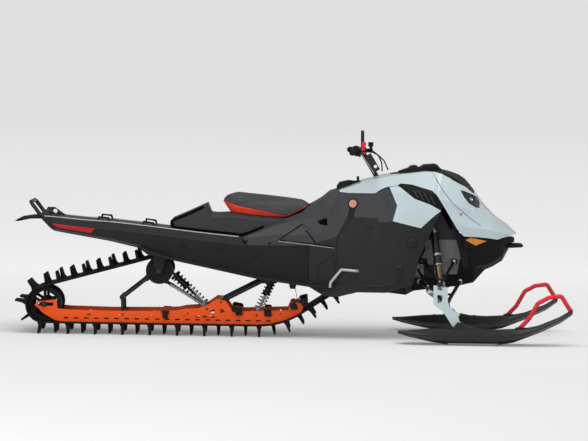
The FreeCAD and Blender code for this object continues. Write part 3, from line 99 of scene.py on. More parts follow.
class DetailSettings(bpy.types.PropertyGroup):
    """Sizes of the small parts."""
    rivet_radius: length("Rivet radius", 0.0045, "Rivets along the tunnel")
    rivet_pitch: length("Rivet pitch", 0.095, "Distance between two rivets")
    screw_radius: length("Screw radius", 0.008, "Screws of the panels")
    cell_radius: length("Mesh cell", 0.0052, "Half width of one cell of the air mesh")
    stitch_pitch: length("Stitch pitch", 0.0085, "Distance between two stitches")
    thread_radius: length("Thread radius", 0.0009, "Half the thickness of the seat's thread")
    rib_pitch: length("Grip rib pitch", 0.0068, "Distance between two ribs of a grip")
    pad_voxel: length("Pad mesh size", 0.006, "Cell of the seat's soft mesh")
    pad_cap: length("Pad swell", 0.006, "Most that the seat's cover moves out")
    pad_pressure: number("Pad pressure", 4.0, "Pressure inside the seat's cover")
    cloth_frames: IntProperty(name="Cloth frames", description="Steps of the seat's cover", default=20)


# Nodes of materials and of geometry trees

def plug(tree, socket, value):
    """Link an output to an input, or set the input to a value."""
    if isinstance(value, bpy.types.NodeSocket):
        tree.links.new(value, socket)
    else:
        socket.default_value = value


def feed(tree, made, **values):
    """Plug a node's inputs by name, with _ for a space; any other name is one of its settings."""
    for key, value in values.items():
        socket = made.inputs.get(key.replace("_", " "))
        if socket is None:
            setattr(made, key, value)
        else:
            plug(tree, socket, value)
    return made


def node(tree, kind, **values):
    """New node with its inputs and settings given by name."""
    return feed(tree, tree.nodes.new(kind), **values)


# Materials

def new_material(name):
    """Empty material with one shader and its output."""
    material = bpy.data.materials.new(name)
    material.use_nodes = True
    tree = material.node_tree
    tree.nodes.clear()
    shader = node(tree, "ShaderNodeBsdfPrincipled")
    node(tree, "ShaderNodeOutputMaterial", Surface=shader.outputs[0])
    return material, tree, shader


def coordinates(tree):
    """Places on the vehicle, in metres."""
    return node(tree, "ShaderNodeTexCoord").outputs["Object"]


def noise(tree, scale, detail=3.0, place=None):
    """Cloudy values from 0 to 1."""
    place = place or coordinates(tree)
    return node(tree, "ShaderNodeTexNoise", Scale=scale, Detail=detail, Vector=place).outputs["Fac"]


def stretched(tree, scale):
    """Places drawn out along one way, for brushed finishes."""
    return node(tree, "ShaderNodeMapping", Vector=coordinates(tree), Scale=scale).outputs["Vector"]


def between(tree, factor, low, high, start=0.3, end=0.7):
    """Number from low to high while a factor runs from its start to its end."""
    made = node(tree, "ShaderNodeMapRange", Value=factor, From_Min=start, From_Max=end, To_Min=low,
                To_Max=high)
    return made.outputs["Result"]


def maths(tree, operation, first, second=0.0):
    """One sum of two numbers or outputs."""
    made = node(tree, "ShaderNodeMath", operation=operation)
    for socket, value in zip(made.inputs, (first, second)):
        plug(tree, socket, value)
    return made.outputs[0]


def mixed(tree, factor, first, second):
    """Colour between two colours or outputs."""
    made = node(tree, "ShaderNodeMix", data_type="RGBA", Factor=factor)
    for socket, value in zip(made.inputs[6:8], (first, second)):
        plug(tree, socket, value if isinstance(value, bpy.types.NodeSocket) else (*value, 1.0))
    return made.outputs[2]


def bumped(tree, height, strength, distance=0.0005):
    """Fine relief of a finish."""
    made = node(tree, "ShaderNodeBump", Height=height, Strength=strength, Distance=distance)
    return made.outputs["Normal"]


def scaled(tone, share):
    """A colour made darker or lighter."""
    return [min(value * share, 1.0) for value in tone]


def shades(tree, tone, spread):
    """Broad patches a little darker and lighter than a colour."""
    broad = between(tree, noise(tree, bpy.context.scene.snowmobile_looks.patch_scale, 2.0), 0.0, 1.0)
    return mixed(tree, broad, scaled(tone, 1.0 - spread), scaled(tone, 1.0 + spread))


def moulded(name, tone, rough, spread=0.12, metallic=0.0, coat=0.0, bump=0.25, grain=None, gloss=0.5,
            other=None, mask=None):
    """Finish with broad tones, fine grain and uneven gloss; a mask gives parts of it another tone."""
    material, tree, shader = new_material(name)
    fine = noise(tree, grain or bpy.context.scene.snowmobile_looks.grain_scale, 4.0)
    base = shades(tree, tone, spread)
    if mask:
        base = mixed(tree, mask(tree), base, shades(tree, other, spread))
    uneven = between(tree, fine, max(rough - 0.06, 0.02), min(rough + 0.06, 1.0))
    scuffs = between(tree, noise(tree, 26.0, 6.0), 0.0, 0.05)
    feed(tree, shader, Base_Color=base, Roughness=maths(tree, "ADD", uneven, scuffs), Metallic=metallic,
         Specular_IOR_Level=gloss, Coat_Weight=coat, Coat_Roughness=0.06)
    if bump:
        feed(tree, shader, Normal=bumped(tree, fine, bump))
    return material


def brushed(name, tone, rough, scale):
    """Bare metal with fine lines along one way."""
    material, tree, shader = new_material(name)
    lines = noise(tree, 1.0, 3.0, stretched(tree, scale))
    feed(tree, shader, Base_Color=mixed(tree, lines, scaled(tone, 0.8), tone), Metallic=1.0,
         Roughness=between(tree, lines, rough - 0.08, rough + 0.08), Normal=bumped(tree, lines, 0.12))
    return material


def webbing(name, tone):
    """Woven strap with crossing threads."""
    material, tree, shader = new_material(name)
    across, along = (node(tree, "ShaderNodeTexWave", Scale=260.0, bands_direction=way,
                          Vector=coordinates(tree)).outputs["Fac"] for way in "YZ")
    weave = maths(tree, "MULTIPLY", across, along)
    feed(tree, shader, Base_Color=mixed(tree, weave, scaled(tone, 0.6), scaled(tone, 1.6)), Roughness=0.85,
         Normal=bumped(tree, weave, 0.7, 0.0008))
    return material


def prism_lens(name, tone):
    """Clear coloured lens over rows of small prisms."""
    material, tree, shader = new_material(name)
    prisms = node(tree, "ShaderNodeTexVoronoi", Scale=190.0, Randomness=0.0, feature="DISTANCE_TO_EDGE",
                  Vector=coordinates(tree)).outputs["Distance"]
    edge = maths(tree, "MULTIPLY", prisms, 2.2)
    feed(tree, shader, Base_Color=mixed(tree, edge, scaled(tone, 0.62), tone), Roughness=0.16,
         Coat_Weight=0.7, Normal=bumped(tree, prisms, 0.5, 0.0012))
    return material


def seat_vinyl(name, top, side):
    """Grained cover, dark above its crease and red below it."""
    material, tree, shader = new_material(name)
    zone = node(tree, "ShaderNodeAttribute", attribute_name="above_crease")
    above = maths(tree, "GREATER_THAN", zone.outputs["Fac"])
    pores = node(tree, "ShaderNodeTexVoronoi", Scale=620.0, feature="SMOOTH_F1",
                 Vector=coordinates(tree)).outputs["Distance"]
    creases = noise(tree, 34.0, 5.0)
    relief = maths(tree, "ADD", pores, maths(tree, "MULTIPLY", creases, 0.5))
    feed(tree, shader, Base_Color=mixed(tree, above, shades(tree, side, 0.08), shades(tree, top, 0.15)),
         Roughness=between(tree, creases, 0.52, 0.66), Specular_IOR_Level=0.35,
         Normal=bumped(tree, relief, 0.35, 0.0007))
    return material


def axis_value(tree, axis):
    """One coordinate of each place."""
    return node(tree, "ShaderNodeSeparateXYZ", Vector=coordinates(tree)).outputs[axis]


def below(height):
    """Mask of what lies under a height."""
    return lambda tree: maths(tree, "LESS_THAN", axis_value(tree, "Z"), height)


def outside(width):
    """Mask of what lies further out than a width."""
    return lambda tree: maths(tree, "GREATER_THAN", maths(tree, "ABSOLUTE", axis_value(tree, "Y")), width)


FRAME_WEB_Y = 0.1175
COIL_BARE_Z = 0.236
LAMP_PANEL_Z = 0.833


def make_materials(looks):
    """Every finish by its short name."""
    iron = (0.012, 0.012, 0.013)
    return {
        "ice": moulded("ice_paint", looks.ice, 0.2, 0.03, coat=0.5, bump=0.02),
        "ice_metal": moulded("ice_metal", looks.ice, 0.34, 0.05, coat=0.2, bump=0.06),
        "charcoal": moulded("charcoal_plastic", looks.charcoal, 0.55, 0.1, bump=0.3, gloss=0.35),
        "side": moulded("side_plastic", looks.dark, 0.52, 0.15, bump=0.3, gloss=0.3),
        "base": moulded("base_plastic", scaled(looks.charcoal, 0.85), 0.6, bump=0.4, gloss=0.3),
        "black": moulded("black_plastic", looks.black, 0.42, 0.2, bump=0.2, gloss=0.16),
        # Near-black finish of the seat base's border lines, and painted shade in the console hole, at the
        # pocket's edges and inside the nose.
        "shade_and_joints": moulded("painted_shade_and_joints", (0.002, 0.002, 0.0022), 0.8, 0.1, bump=0.05, gloss=0.04),
        "tunnel": moulded("tunnel_paint", (0.009, 0.0092, 0.01), 0.42, bump=0.1, gloss=0.2),
        "orange": moulded("orange_paint", looks.orange, 0.42, 0.04, coat=0.1, bump=0.05, gloss=0.15),
        "red": moulded("red_tube", looks.red, 0.42, 0.08, bump=0.1, gloss=0.35),
        "stripe": moulded("stripe_red", (0.42, 0.01, 0.014), 0.45, bump=0.02, gloss=0.2),
        "rubber": moulded("track_rubber", (0.008, 0.008, 0.0085), 0.75, 0.3, bump=0.5, grain=260.0,
                          gloss=0.15),
        "metal_black": moulded("metal_black", iron, 0.36, 0.15, metallic=0.3, bump=0.08),
        "frame": moulded("frame_metal", iron, 0.4, 0.15, metallic=0.3, bump=0.1, other=(0.16, 0.16, 0.165),
                         mask=outside(FRAME_WEB_Y)),
        "springs": moulded("spring_metal", iron, 0.34, 0.1, metallic=0.4, bump=0.06, other=(0.5, 0.5, 0.5),
                           mask=below(COIL_BARE_Z)),
        "steel": brushed("bare_steel", (0.56, 0.57, 0.58), 0.3, (20.0, 900.0, 900.0)),
        "bronze": brushed("bronze_rod", (0.2, 0.145, 0.1), 0.3, (40.0, 700.0, 40.0)),
        "chrome": brushed("chrome", (0.8, 0.8, 0.81), 0.12, (30.0, 300.0, 30.0)),
        # Light metal of the nose studs; also the painted highlight strip at the console pocket's lower edge.
        "edge": moulded("highlight_and_stud_metal", (0.42, 0.43, 0.44), 0.35, 0.15, metallic=0.6, bump=0.05),
        # Light metal of the toe hooks and pull rods; also the painted highlight strips on the tunnel's edges
        # and along the steering post.
        "light_metal": moulded("light_metal", (0.46, 0.47, 0.48), 0.4, 0.05, metallic=0.2, bump=0.08),
        "alloy": moulded("engine_alloy", (0.3, 0.3, 0.31), 0.5, 0.1, metallic=0.8, bump=0.3),
        "latch": moulded("latch_cap", (0.62, 0.24, 0.19), 0.55, 0.25, bump=0.2),
        "amber": prism_lens("amber_lens", (0.88, 0.29, 0.015)),
        "lamp": moulded("lamp_lens", (0.004, 0.004, 0.005), 0.1, 0.1, coat=0.3, bump=0.0,
                        other=(0.02, 0.021, 0.023), mask=below(LAMP_PANEL_Z)),
        "seam": moulded("seam_gloss", (0.006, 0.007, 0.009), 0.06, 0.1, coat=1.0, bump=0.0),
        "web": webbing("strap_web", (0.014, 0.014, 0.015)),
        "ski": moulded("ski_plastic", (0.013, 0.013, 0.0145), 0.38, 0.15, bump=0.12, gloss=0.4),
        "seat": seat_vinyl("seat_cover", (0.042, 0.043, 0.046), looks.seat_red),
        "thread": moulded("thread", (0.12, 0.12, 0.125), 0.7, 0.1, bump=0.4),
        "piping": moulded("piping", (0.5, 0.03, 0.03), 0.5, 0.1, bump=0.2),
    }


FINISHES = {}
CAD_LOOKS = {
    "rubber": "track snow_flap grips control_cables",
    "black": "track_wheels rail_blocks cargo_anchors belly_pan top_cover front_bumper vents controls gauge",
    "metal_black": "front_arms track_arms rear_bumper front_shocks tie_rod_left tie_rod_right "
                   "steering_post handlebar",
    "tunnel": "tunnel running_boards",
    "ice": "hood nose side_covers",
    "ice_metal": "leg_left leg_right",
    "ski": "ski_left ski_right",
    "red": "ski_loop_left ski_loop_right",
    "web": "limiter_strap grab_strap",
    "orange": "rails",
    "springs": "track_shocks",
    "light_metal": "toe_hooks",
    "alloy": "engine_block",
    "frame": "front_frame",
    "lamp": "headlights",
    "amber": "reflectors",
    "base": "seat_base",
    "charcoal": "console",
    "seat": "seat",
    "side": "side_panels",
}
SMOOTH_NODES = ("hood nose top_cover vents side_covers console side_panels ski_left ski_right belly_pan "
                "seat_base headlights ski_loop_left ski_loop_right grab_strap rear_bumper front_bumper "
                "toe_hooks handlebar control_cables track_wheels grips steering_post").split()
PANEL_SMOOTH = math.radians(17.0)
PIECE_SMOOTH = math.radians(30.0)
MERGE = 0.00002


# Geometry trees

def socket_label(key):
    """Name of a tree's input from the name of a size."""
    return key.replace("_", " ").capitalize()


def new_tree(name, sizes, finish=False):
    """Empty geometry tree with named sizes, and with a material where it needs one."""
    group = bpy.data.node_groups.new(name, "GeometryNodeTree")

    def socket(label, way, kind):
        return group.interface.new_socket(name=label, in_out=way, socket_type="NodeSocket" + kind)

    socket("Geometry", "INPUT", "Geometry")
    for key, value in sizes.items():
        socket(socket_label(key), "INPUT", "Float").default_value = value
    if finish:
        socket("Finish", "INPUT", "Material")
    socket("Geometry", "OUTPUT", "Geometry")
    return group, group.nodes.new("NodeGroupInput").outputs, group.nodes.new("NodeGroupOutput")


def smoothing_tree():
    """Joins loose triangles and shades them smoothly up to an edge angle."""
    group, given, end = new_tree("smooth_panels", {"edge_angle": PANEL_SMOOTH})
    merge = node(group, "GeometryNodeMergeByDistance", Geometry=given["Geometry"], Distance=MERGE)
    angle = node(group, "GeometryNodeInputMeshEdgeAngle").outputs["Unsigned Angle"]
    soft = node(group, "FunctionNodeCompare", data_type="FLOAT", operation="LESS_EQUAL", A=angle,
                B=given["Edge angle"])
    edges = node(group, "GeometryNodeSetShadeSmooth", domain="EDGE", Geometry=merge.outputs[0],
                 Shade_Smooth=soft.outputs["Result"])
    faces = node(group, "GeometryNodeSetShadeSmooth", Geometry=edges.outputs[0])
    feed(group, end, Geometry=faces.outputs[0])
    return group


def repeat_tree(shape, sizes):
    """Tree that sets a small shape on each point, or at even steps along a path where it has a spacing."""
    group, given, end = new_tree(shape.__name__, sizes, finish=True)
    if "spacing" in sizes:
        curve = node(group, "GeometryNodeMeshToCurve", Mesh=given["Geometry"])
        steps = node(group, "GeometryNodeResampleCurve", mode="LENGTH", Curve=curve.outputs[0],
                     Length=given["Spacing"])
        points = steps.outputs[0]
        way = node(group, "GeometryNodeInputTangent").outputs[0]
    else:
        points = given["Geometry"]
        facing = node(group, "GeometryNodeInputNamedAttribute", data_type="FLOAT_VECTOR", Name="facing")
        way = next(item for item in facing.outputs if item.enabled and item.name == "Attribute")
    turn = node(group, "FunctionNodeAlignRotationToVector", axis="Z", Vector=way)
    place = node(group, "GeometryNodeInstanceOnPoints", Points=points, Instance=shape(group, given),
                 Rotation=turn.outputs[0])
    real = node(group, "GeometryNodeRealizeInstances", Geometry=place.outputs[0])
    paint = node(group, "GeometryNodeSetMaterial", Geometry=real.outputs[0], Material=given["Finish"])
    feed(group, end, Geometry=paint.outputs[0])
    return group


def screw_shape(group, given):
    """Head with a sunk socket."""
    head = node(group, "GeometryNodeMeshCylinder", Vertices=10, Radius=given["Head radius"],
                Depth=given["Head height"]).outputs
    inset = node(group, "GeometryNodeExtrudeMesh", Mesh=head["Mesh"], Selection=head["Top"], Offset_Scale=0.0,
                 Individual=False).outputs
    shrink = node(group, "GeometryNodeScaleElements", Geometry=inset["Mesh"], Selection=inset["Top"],
                  Scale=0.55)
    depth = maths(group, "MULTIPLY", given["Head height"], -0.5)
    sink = node(group, "GeometryNodeExtrudeMesh", Mesh=shrink.outputs["Geometry"], Selection=inset["Top"],
                Offset_Scale=depth, Individual=False)
    return sink.outputs["Mesh"]


def rivet_shape(group, given):
    """Low domed head."""
    dome = node(group, "GeometryNodeMeshUVSphere", Segments=10, Rings=6, Radius=given["Head radius"])
    flat = node(group, "GeometryNodeTransform", Geometry=dome.outputs["Mesh"], Scale=(1.0, 1.0, 0.45))
    return flat.outputs[0]


def stitch_shape(group, given):
    """One short stretch of thread."""
    return node(group, "GeometryNodeMeshCylinder", Vertices=6, Radius=given["Thread radius"],
                Depth=given["Stitch length"]).outputs["Mesh"]


def wire_loop(group, given, corners, wire_corners):
    """Loop of thin wire that lies square to its way."""
    loop, wire = (node(group, "GeometryNodeCurvePrimitiveCircle", Resolution=count,
                       Radius=given[label]).outputs[0]
                  for count, label in ((corners, "Loop radius"), (wire_corners, "Wire radius")))
    return node(group, "GeometryNodeCurveToMesh", Curve=loop, Profile_Curve=wire).outputs[0]


def ring_shape(group, given):
    """Round rib of a grip."""
    return wire_loop(group, given, 20, 6)


def cell_shape(group, given):
    """One six-sided cell of the air mesh."""
    return wire_loop(group, given, 6, 4)


def tooth_shape(group, given):
    """Small pointed tooth of the running boards."""
    return node(group, "GeometryNodeMeshCone", Vertices=6, Radius_Bottom=given["Foot radius"],
                Radius_Top=0.0012, Depth=given["Height"]).outputs["Mesh"]


# Pieces

def plain_mesh(obj):
    """The object's evaluated shape as a mesh of its own."""
    graph = bpy.context.evaluated_depsgraph_get()
    return bpy.data.meshes.new_from_object(obj.evaluated_get(graph), depsgraph=graph)


def join_scene(name, data):
    """New object of a mesh, a light or a camera, at the origin."""
    obj = bpy.data.objects.new(name, data)
    bpy.context.collection.objects.link(obj)
    return obj


def carried(obj, body):
    """Let a finished piece ride on its body."""
    if not obj.data.polygons:
        raise RuntimeError(obj.name + " has no faces")
    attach(obj, body)
    return obj


def repeated(name, shape, places, finish, slot, body="chassis", **sizes):
    """Set a small shape on places, or along paths where it has a spacing, as one plain piece."""
    source = path_mesh(places) if "spacing" in sizes else point_mesh(places)
    holder = join_scene(name + "_source", source)
    modifier = holder.modifiers.new("repeat", "NODES")
    tree = bpy.data.node_groups.get(shape.__name__) or repeat_tree(shape, sizes)
    modifier.node_group = tree
    sockets = {item.name: item.identifier for item in tree.interface.items_tree if item.in_out == "INPUT"}
    for key, value in dict(sizes, finish=FINISHES[finish]).items():
        modifier[sockets[socket_label(key)]] = value
    obj = join_scene(name, plain_mesh(holder))
    bpy.data.objects.remove(holder)
    return carried(obj, body)


def mesh_from(name, finish, slot, form, *given, bevel=0.0, body="chassis", sides=SIDES, **sizes):
    """New piece from a form with what it is given and its sizes, made on each side of the vehicle."""
    bm = bmesh.new()
    for side in sides:
        form(bm, side, *given, **sizes)
    bmesh.ops.recalc_face_normals(bm, faces=bm.faces)
    if bevel:
        sharp = [edge for edge in bm.edges if edge.is_manifold and edge.calc_face_angle() > PIECE_SMOOTH]
        bmesh.ops.bevel(bm, geom=sharp, offset=bevel, segments=2, profile=0.7, affect="EDGES",
                        clamp_overlap=True)
    mesh = bpy.data.meshes.new(name)
    bm.to_mesh(mesh)
    bm.free()
    mesh.shade_smooth()
    mesh.set_sharp_from_angle(angle=PIECE_SMOOTH)
    mesh.materials.append(FINISHES[finish])
    return carried(join_scene(name, mesh), body)


# Places on surfaces

RAY_START = 2.0


def search_tree(*meshes):
    """Search tree over the faces of some meshes."""
    points = []
    faces = []
    for mesh in meshes:
        first = len(points)
        points += [vertex.co.copy() for vertex in mesh.vertices]
        faces += [[first + index for index in face.vertices] for face in mesh.polygons]
    return BVHTree.FromPolygons(points, faces)


@lru_cache
def surface(*names):
    """Search tree over the faces of some nodes."""
    return search_tree(*(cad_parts[name].data for name in names))


def hit(tree, start, way):
    """Where a line meets a surface, and the surface's direction there."""
    place, facing, _, _ = tree.ray_cast(Vector(start), Vector(way))
    if place is None:
        raise RuntimeError("no surface from %.3f %.3f %.3f" % start)
    return place, facing if facing.dot(Vector(way)) < 0 else -facing


def side_hit(tree, x, z, side):
    """Place on the outer side of a surface."""
    return hit(tree, (x, side * RAY_START, z), (0, -side, 0))


def top_hit(tree, x, y):
    """Place on the top of a surface."""
    return hit(tree, (x, y, RAY_START), (0, 0, -1))


def both_hits(tree, spots):
    """Places of (x, z) spots on the right and the left side of a surface."""
    return [side_hit(tree, x, z, side) for side in SIDES for x, z in spots]


def blend(a, b, share):
    """Place between two places."""
    return tuple(p + (q - p) * share for p, q in zip(a, b))


def raised(line, rise):
    """A line of (x, z) points moved up."""
    return [(x, z + rise) for x, z in line]


def line_steps(points, step):
    """Places along a line, about one step apart."""
    places = []
    for a, b in zip(points, points[1:]):
        count = max(1, round(math.dist(a, b) / step))
        places += [blend(a, b, k / count) for k in range(count)]
    return places + [points[-1]]


def height_on(line, x):
    """Height of a line of (x, z) points at one x."""
    for (xa, za), (xb, zb) in zip(line, line[1:]):
        if x <= xb:
            return za + (zb - za) * max(x - xa, 0.0) / (xb - xa)
    return line[-1][1]


def point_mesh(places):
    """Points with the direction that each faces."""
    mesh = bpy.data.meshes.new("points")
    mesh.from_pydata([place for place, _ in places], [], [])
    facing = mesh.attributes.new("facing", "FLOAT_VECTOR", "POINT")
    facing.data.foreach_set("vector", [value for _, way in places for value in way])
    return mesh


def path_mesh(paths):
    """Open lines as edges."""
    points = []
    edges = []
    for path in paths:
        first = len(points)
        points += path
        edges += [(first + k, first + k + 1) for k in range(len(path) - 1)]
    mesh = bpy.data.meshes.new("paths")
    mesh.from_pydata(points, edges, [])
    return mesh


# Forms

def bridge(bm, rings):
    """Faces between neighbouring rings; a ring of one point is a tip, and the end rings are closed."""
    for low, high in zip(rings, rings[1:]):
        count = max(len(low), len(high))
        for k in range(count):
            n = (k + 1) % count
            corners = [low[k % len(low)], low[n % len(low)], high[n % len(high)], high[k % len(high)]]
            bm.faces.new(list(dict.fromkeys(corners)))
    for ring in (rings[0], rings[-1]):
        if len(ring) > 1:
            bm.faces.new(ring)


def ring_of(bm, centre, out, other, radius, corners):
    """Ring of points about a centre, or its one point where the radius is nothing."""
    if radius < 1e-6:
        return [bm.verts.new(centre)]
    turns = [2 * math.pi * k / corners for k in range(corners)]
    return [bm.verts.new(centre + (out * math.cos(t) + other * math.sin(t)) * radius) for t in turns]


def mirrored(point, side):
    """A place that is given for the left side, on one of the sides."""
    x, y, z = point
    return Vector((x, side * y, z))


def turned(bm, side, a, b, profile, corners=24):
    """Round piece about the line from a to b; the profile lists (metres along, radius)."""
    a, b = mirrored(a, side), mirrored(b, side)
    way = (b - a).normalized()
    out = way.orthogonal().normalized()
    other = way.cross(out)
    bridge(bm, [ring_of(bm, a + way * along, out, other, radius, corners) for along, radius in profile])


def studded(bm, side, tree, spot, profile, sink, corners=32):
    """Round piece that stands on the side of a surface, with its foot sunk in."""
    place, facing = side_hit(tree, *spot, side)
    turned(bm, 1, place - facing * sink, place + facing, profile, corners)


def band(along, width, inner, outer, edge=0.0015):
    """Profile of a ring with softened edges on a rod."""
    return [(along, inner), (along, outer - edge), (along + edge, outer), (along + width - edge, outer),
            (along + width, outer - edge), (along + width, inner)]


def smooth_line(points, steps=8):
    """Curve through given points."""
    line = []
    for p0, p1, p2, p3 in zip(points[:1] + points, points, points[1:], points[2:] + points[-1:]):
        for k in range(steps):
            t = k / steps
            line.append(0.5 * (2 * p1 + (p2 - p0) * t + (2 * p0 - 5 * p1 + 4 * p2 - p3) * t ** 2
                               + (3 * p1 - p0 - 3 * p2 + p3) * t ** 3))
    return line + [points[-1]]


def swept(bm, line, radius, corners=10):
    """Round bar along a line of places."""
    out = None
    rings = []
    for before, point, after in zip(line[:1] + line, line, line[1:] + line[-1:]):
        way = (after - before).normalized()
        out = (out - way * out.dot(way) if out else way.orthogonal()).normalized()
        rings.append(ring_of(bm, point, out, way.cross(out), radius, corners))
    bridge(bm, rings)


def slab(bm, side, outline, y0, y1):
    """Flat piece with a side outline between two widths."""
    bridge(bm, [[bm.verts.new((x, side * y, z)) for x, z in outline] for y in (y0, y1)])


def laid_strip(bm, rows, rise, sink=0.0012):
    """Closed strip on a surface; each row holds the two edge places with the way out of the surface."""
    rings = []
    for (left, left_way), (right, right_way) in rows:
        corners = (left - left_way * sink, left + left_way * rise,
                   right + right_way * rise, right - right_way * sink)
        rings.append([bm.verts.new(corner) for corner in corners])
    bridge(bm, rings)


def ribbon(bm, side, tree, line, width, rise, step=0.02):
    """Strip of even width that follows a line of (x, z) points on the side of a surface."""
    places = line_steps(line, step)
    rows = []
    for i, (x, z) in enumerate(places):
        xa, za = places[max(i - 1, 0)]
        xb, zb = places[min(i + 1, len(places) - 1)]
        run = math.hypot(xb - xa, zb - za)
        nx, nz = (za - zb) / run * width / 2, (xb - xa) / run * width / 2
        rows.append((side_hit(tree, x + nx, z + nz, side), side_hit(tree, x - nx, z - nz, side)))
    laid_strip(bm, rows, rise)


def ribbons(bm, side, tree, lines, **sizes):
    """One strip for each line."""
    for line in lines:
        ribbon(bm, side, tree, line, **sizes)


def patch(bm, side, tree, upper, lower, rise, step=0.02):
    """Flat marking between an upper and a lower pair of (x, z) points on the side of a surface."""
    count = max(2, round(math.dist(*upper) / step))
    laid_strip(bm, [[side_hit(tree, *blend(*pair, k / count), side) for pair in (upper, lower)]
                    for k in range(count + 1)], rise)


class SNOW_OT_finishes(bpy.types.Operator):
    """Give every carried-over node its procedural finish"""
    bl_idname = "snowmobile.finishes"
    bl_label = "Finishes"

    def execute(self, context):
        FINISHES.update(make_materials(context.scene.snowmobile_looks))
        bare = set(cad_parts)
        for finish, names in CAD_LOOKS.items():
            for name in names.split():
                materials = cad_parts[name].data.materials
                materials.clear()
                materials.append(FINISHES[finish])
                bare.discard(name)
        if bare:
            raise RuntimeError("no finish for " + ", ".join(sorted(bare)))
        tree = smoothing_tree()
        for name in SMOOTH_NODES:
            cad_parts[name].modifiers.new("smooth_panels", "NODES").node_group = tree
        return {"FINISHED"}


# Seat

CREASE = ((-0.42, 0.819), (-0.415, 0.817), (-0.325, 0.784), (-0.033, 0.729), (0.105, 0.798))
CREASE_HALF = 0.006
CREASE_DEPTH = 0.0018
CREASE_STEP = 0.01
THREAD_RISE = 0.0004
FOOT_FACING = -0.5
WALL_FACING = 0.8
PAD_SHRINK = 0.0025
STITCH_RISE = 0.012
STITCH_X = (-0.395, 0.06)
PIPING_X = (-0.035, 0.085)
GASKET = ((-0.05, 0.7), (-0.05, 0.728), (0.098, 0.797), (0.118, 0.8), (0.118, 0.78))
GASKET_Y = 0.088


def pad_blank(voxel):
    """Closed copy of the seat, a little smaller and evenly meshed."""
    bm = bmesh.new()
    bm.from_mesh(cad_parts["seat"].data)
    bmesh.ops.remove_doubles(bm, verts=bm.verts, dist=MERGE)
    bmesh.ops.recalc_face_normals(bm, faces=bm.faces)
    bm.normal_update()
    for vert in bm.verts:
        vert.co -= vert.normal * PAD_SHRINK
    mesh = bpy.data.meshes.new("seat_blank")
    bm.to_mesh(mesh)
    bm.free()
    blank = join_scene("seat_blank", mesh)
    remesh = blank.modifiers.new("even_mesh", "REMESH")
    remesh.mode = "VOXEL"
    remesh.voxel_size = voxel
    even = plain_mesh(blank)
    bpy.data.objects.remove(blank)
    return even


def swell(obj, sizes):
    """Let the cover swell under pressure, with its foot held, and cap how far it moves."""
    rest = [vertex.co.copy() for vertex in obj.data.vertices]
    foot = obj.vertex_groups.new(name="foot")
    foot.add([vertex.index for vertex in obj.data.vertices if vertex.normal.z < FOOT_FACING], 1.0, "REPLACE")
    cloth = obj.modifiers.new("cover", "CLOTH")
    cloth.settings.quality = 5
    cloth.settings.use_pressure = True
    cloth.settings.uniform_pressure_force = sizes.pad_pressure
    cloth.settings.effector_weights.gravity = 0.0
    cloth.settings.vertex_group_mass = "foot"
    cloth.point_cache.frame_start = 1
    cloth.point_cache.frame_end = sizes.cloth_frames
    for step in range(1, sizes.cloth_frames + 1):
        bpy.context.scene.frame_set(step)
    moved = plain_mesh(obj)
    obj.modifiers.remove(cloth)
    obj.vertex_groups.remove(foot)
    for vertex, start, end in zip(obj.data.vertices, rest, moved.vertices):
        way = end.co - start
        vertex.co = start + way * min(1.0, sizes.pad_cap / max(way.length, 1e-9))
    bpy.context.scene.frame_set(1)


def sew_crease(mesh):
    """Pull the cover in along its crease and store each point's height above it."""
    zone = mesh.attributes.new("above_crease", "FLOAT", "POINT")
    for vertex in mesh.vertices:
        above = vertex.co.z - height_on(CREASE, vertex.co.x)
        zone.data[vertex.index].value = above
        if abs(above) < CREASE_HALF and abs(vertex.normal.z) < WALL_FACING:
            vertex.co -= vertex.normal * CREASE_DEPTH * (1.0 - abs(above) / CREASE_HALF)


def make_cushion(sizes):
    """Soft seat pad in place of the plain solid."""
    cushion = join_scene("seat_cushion", pad_blank(sizes.pad_voxel))
    swell(cushion, sizes)
    sew_crease(cushion.data)
    cushion.data.materials.clear()
    cushion.data.materials.append(FINISHES["seat"])
    cushion.data.shade_smooth()
    finer = cushion.modifiers.new("finer", "SUBSURF")
    finer.levels = finer.render_levels = 1
    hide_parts("seat")
    return carried(cushion, "chassis")


def crease_path(tree, side, above, x0, x1):
    """Line along the crease on the cover's side."""
    steps = round((x1 - x0) / CREASE_STEP)
    xs = [x0 + (x1 - x0) * k / steps for k in range(steps + 1)]
    hits = [side_hit(tree, x, height_on(CREASE, x) + above, side) for x in xs]
    return [place + facing * THREAD_RISE for place, facing in hits]


class SNOW_OT_seat(bpy.types.Operator):
    """Soft seat with its stitches, piping and gasket"""
    bl_idname = "snowmobile.seat"
    bl_label = "Seat"

    def execute(self, context):
        sizes = context.scene.snowmobile_details
        cover = search_tree(make_cushion(sizes).data)
        paths = [crease_path(cover, side, STITCH_RISE, *STITCH_X) for side in SIDES]
        repeated("seat_stitches", stitch_shape, paths, "thread", "seat_cover", stitch_length=0.0055,
                 thread_radius=sizes.thread_radius, spacing=sizes.stitch_pitch)

        def piping(bm, side):
            swept(bm, crease_path(cover, side, 0.0, *PIPING_X), radius=0.0028)

        mesh_from("seat_piping", "piping", "seat_cover", piping)
        mesh_from("seat_gasket", "black", "seat_cover", slab, GASKET, -GASKET_Y, GASKET_Y, bevel=0.003,
                  sides=(1,))
        return {"FINISHED"}
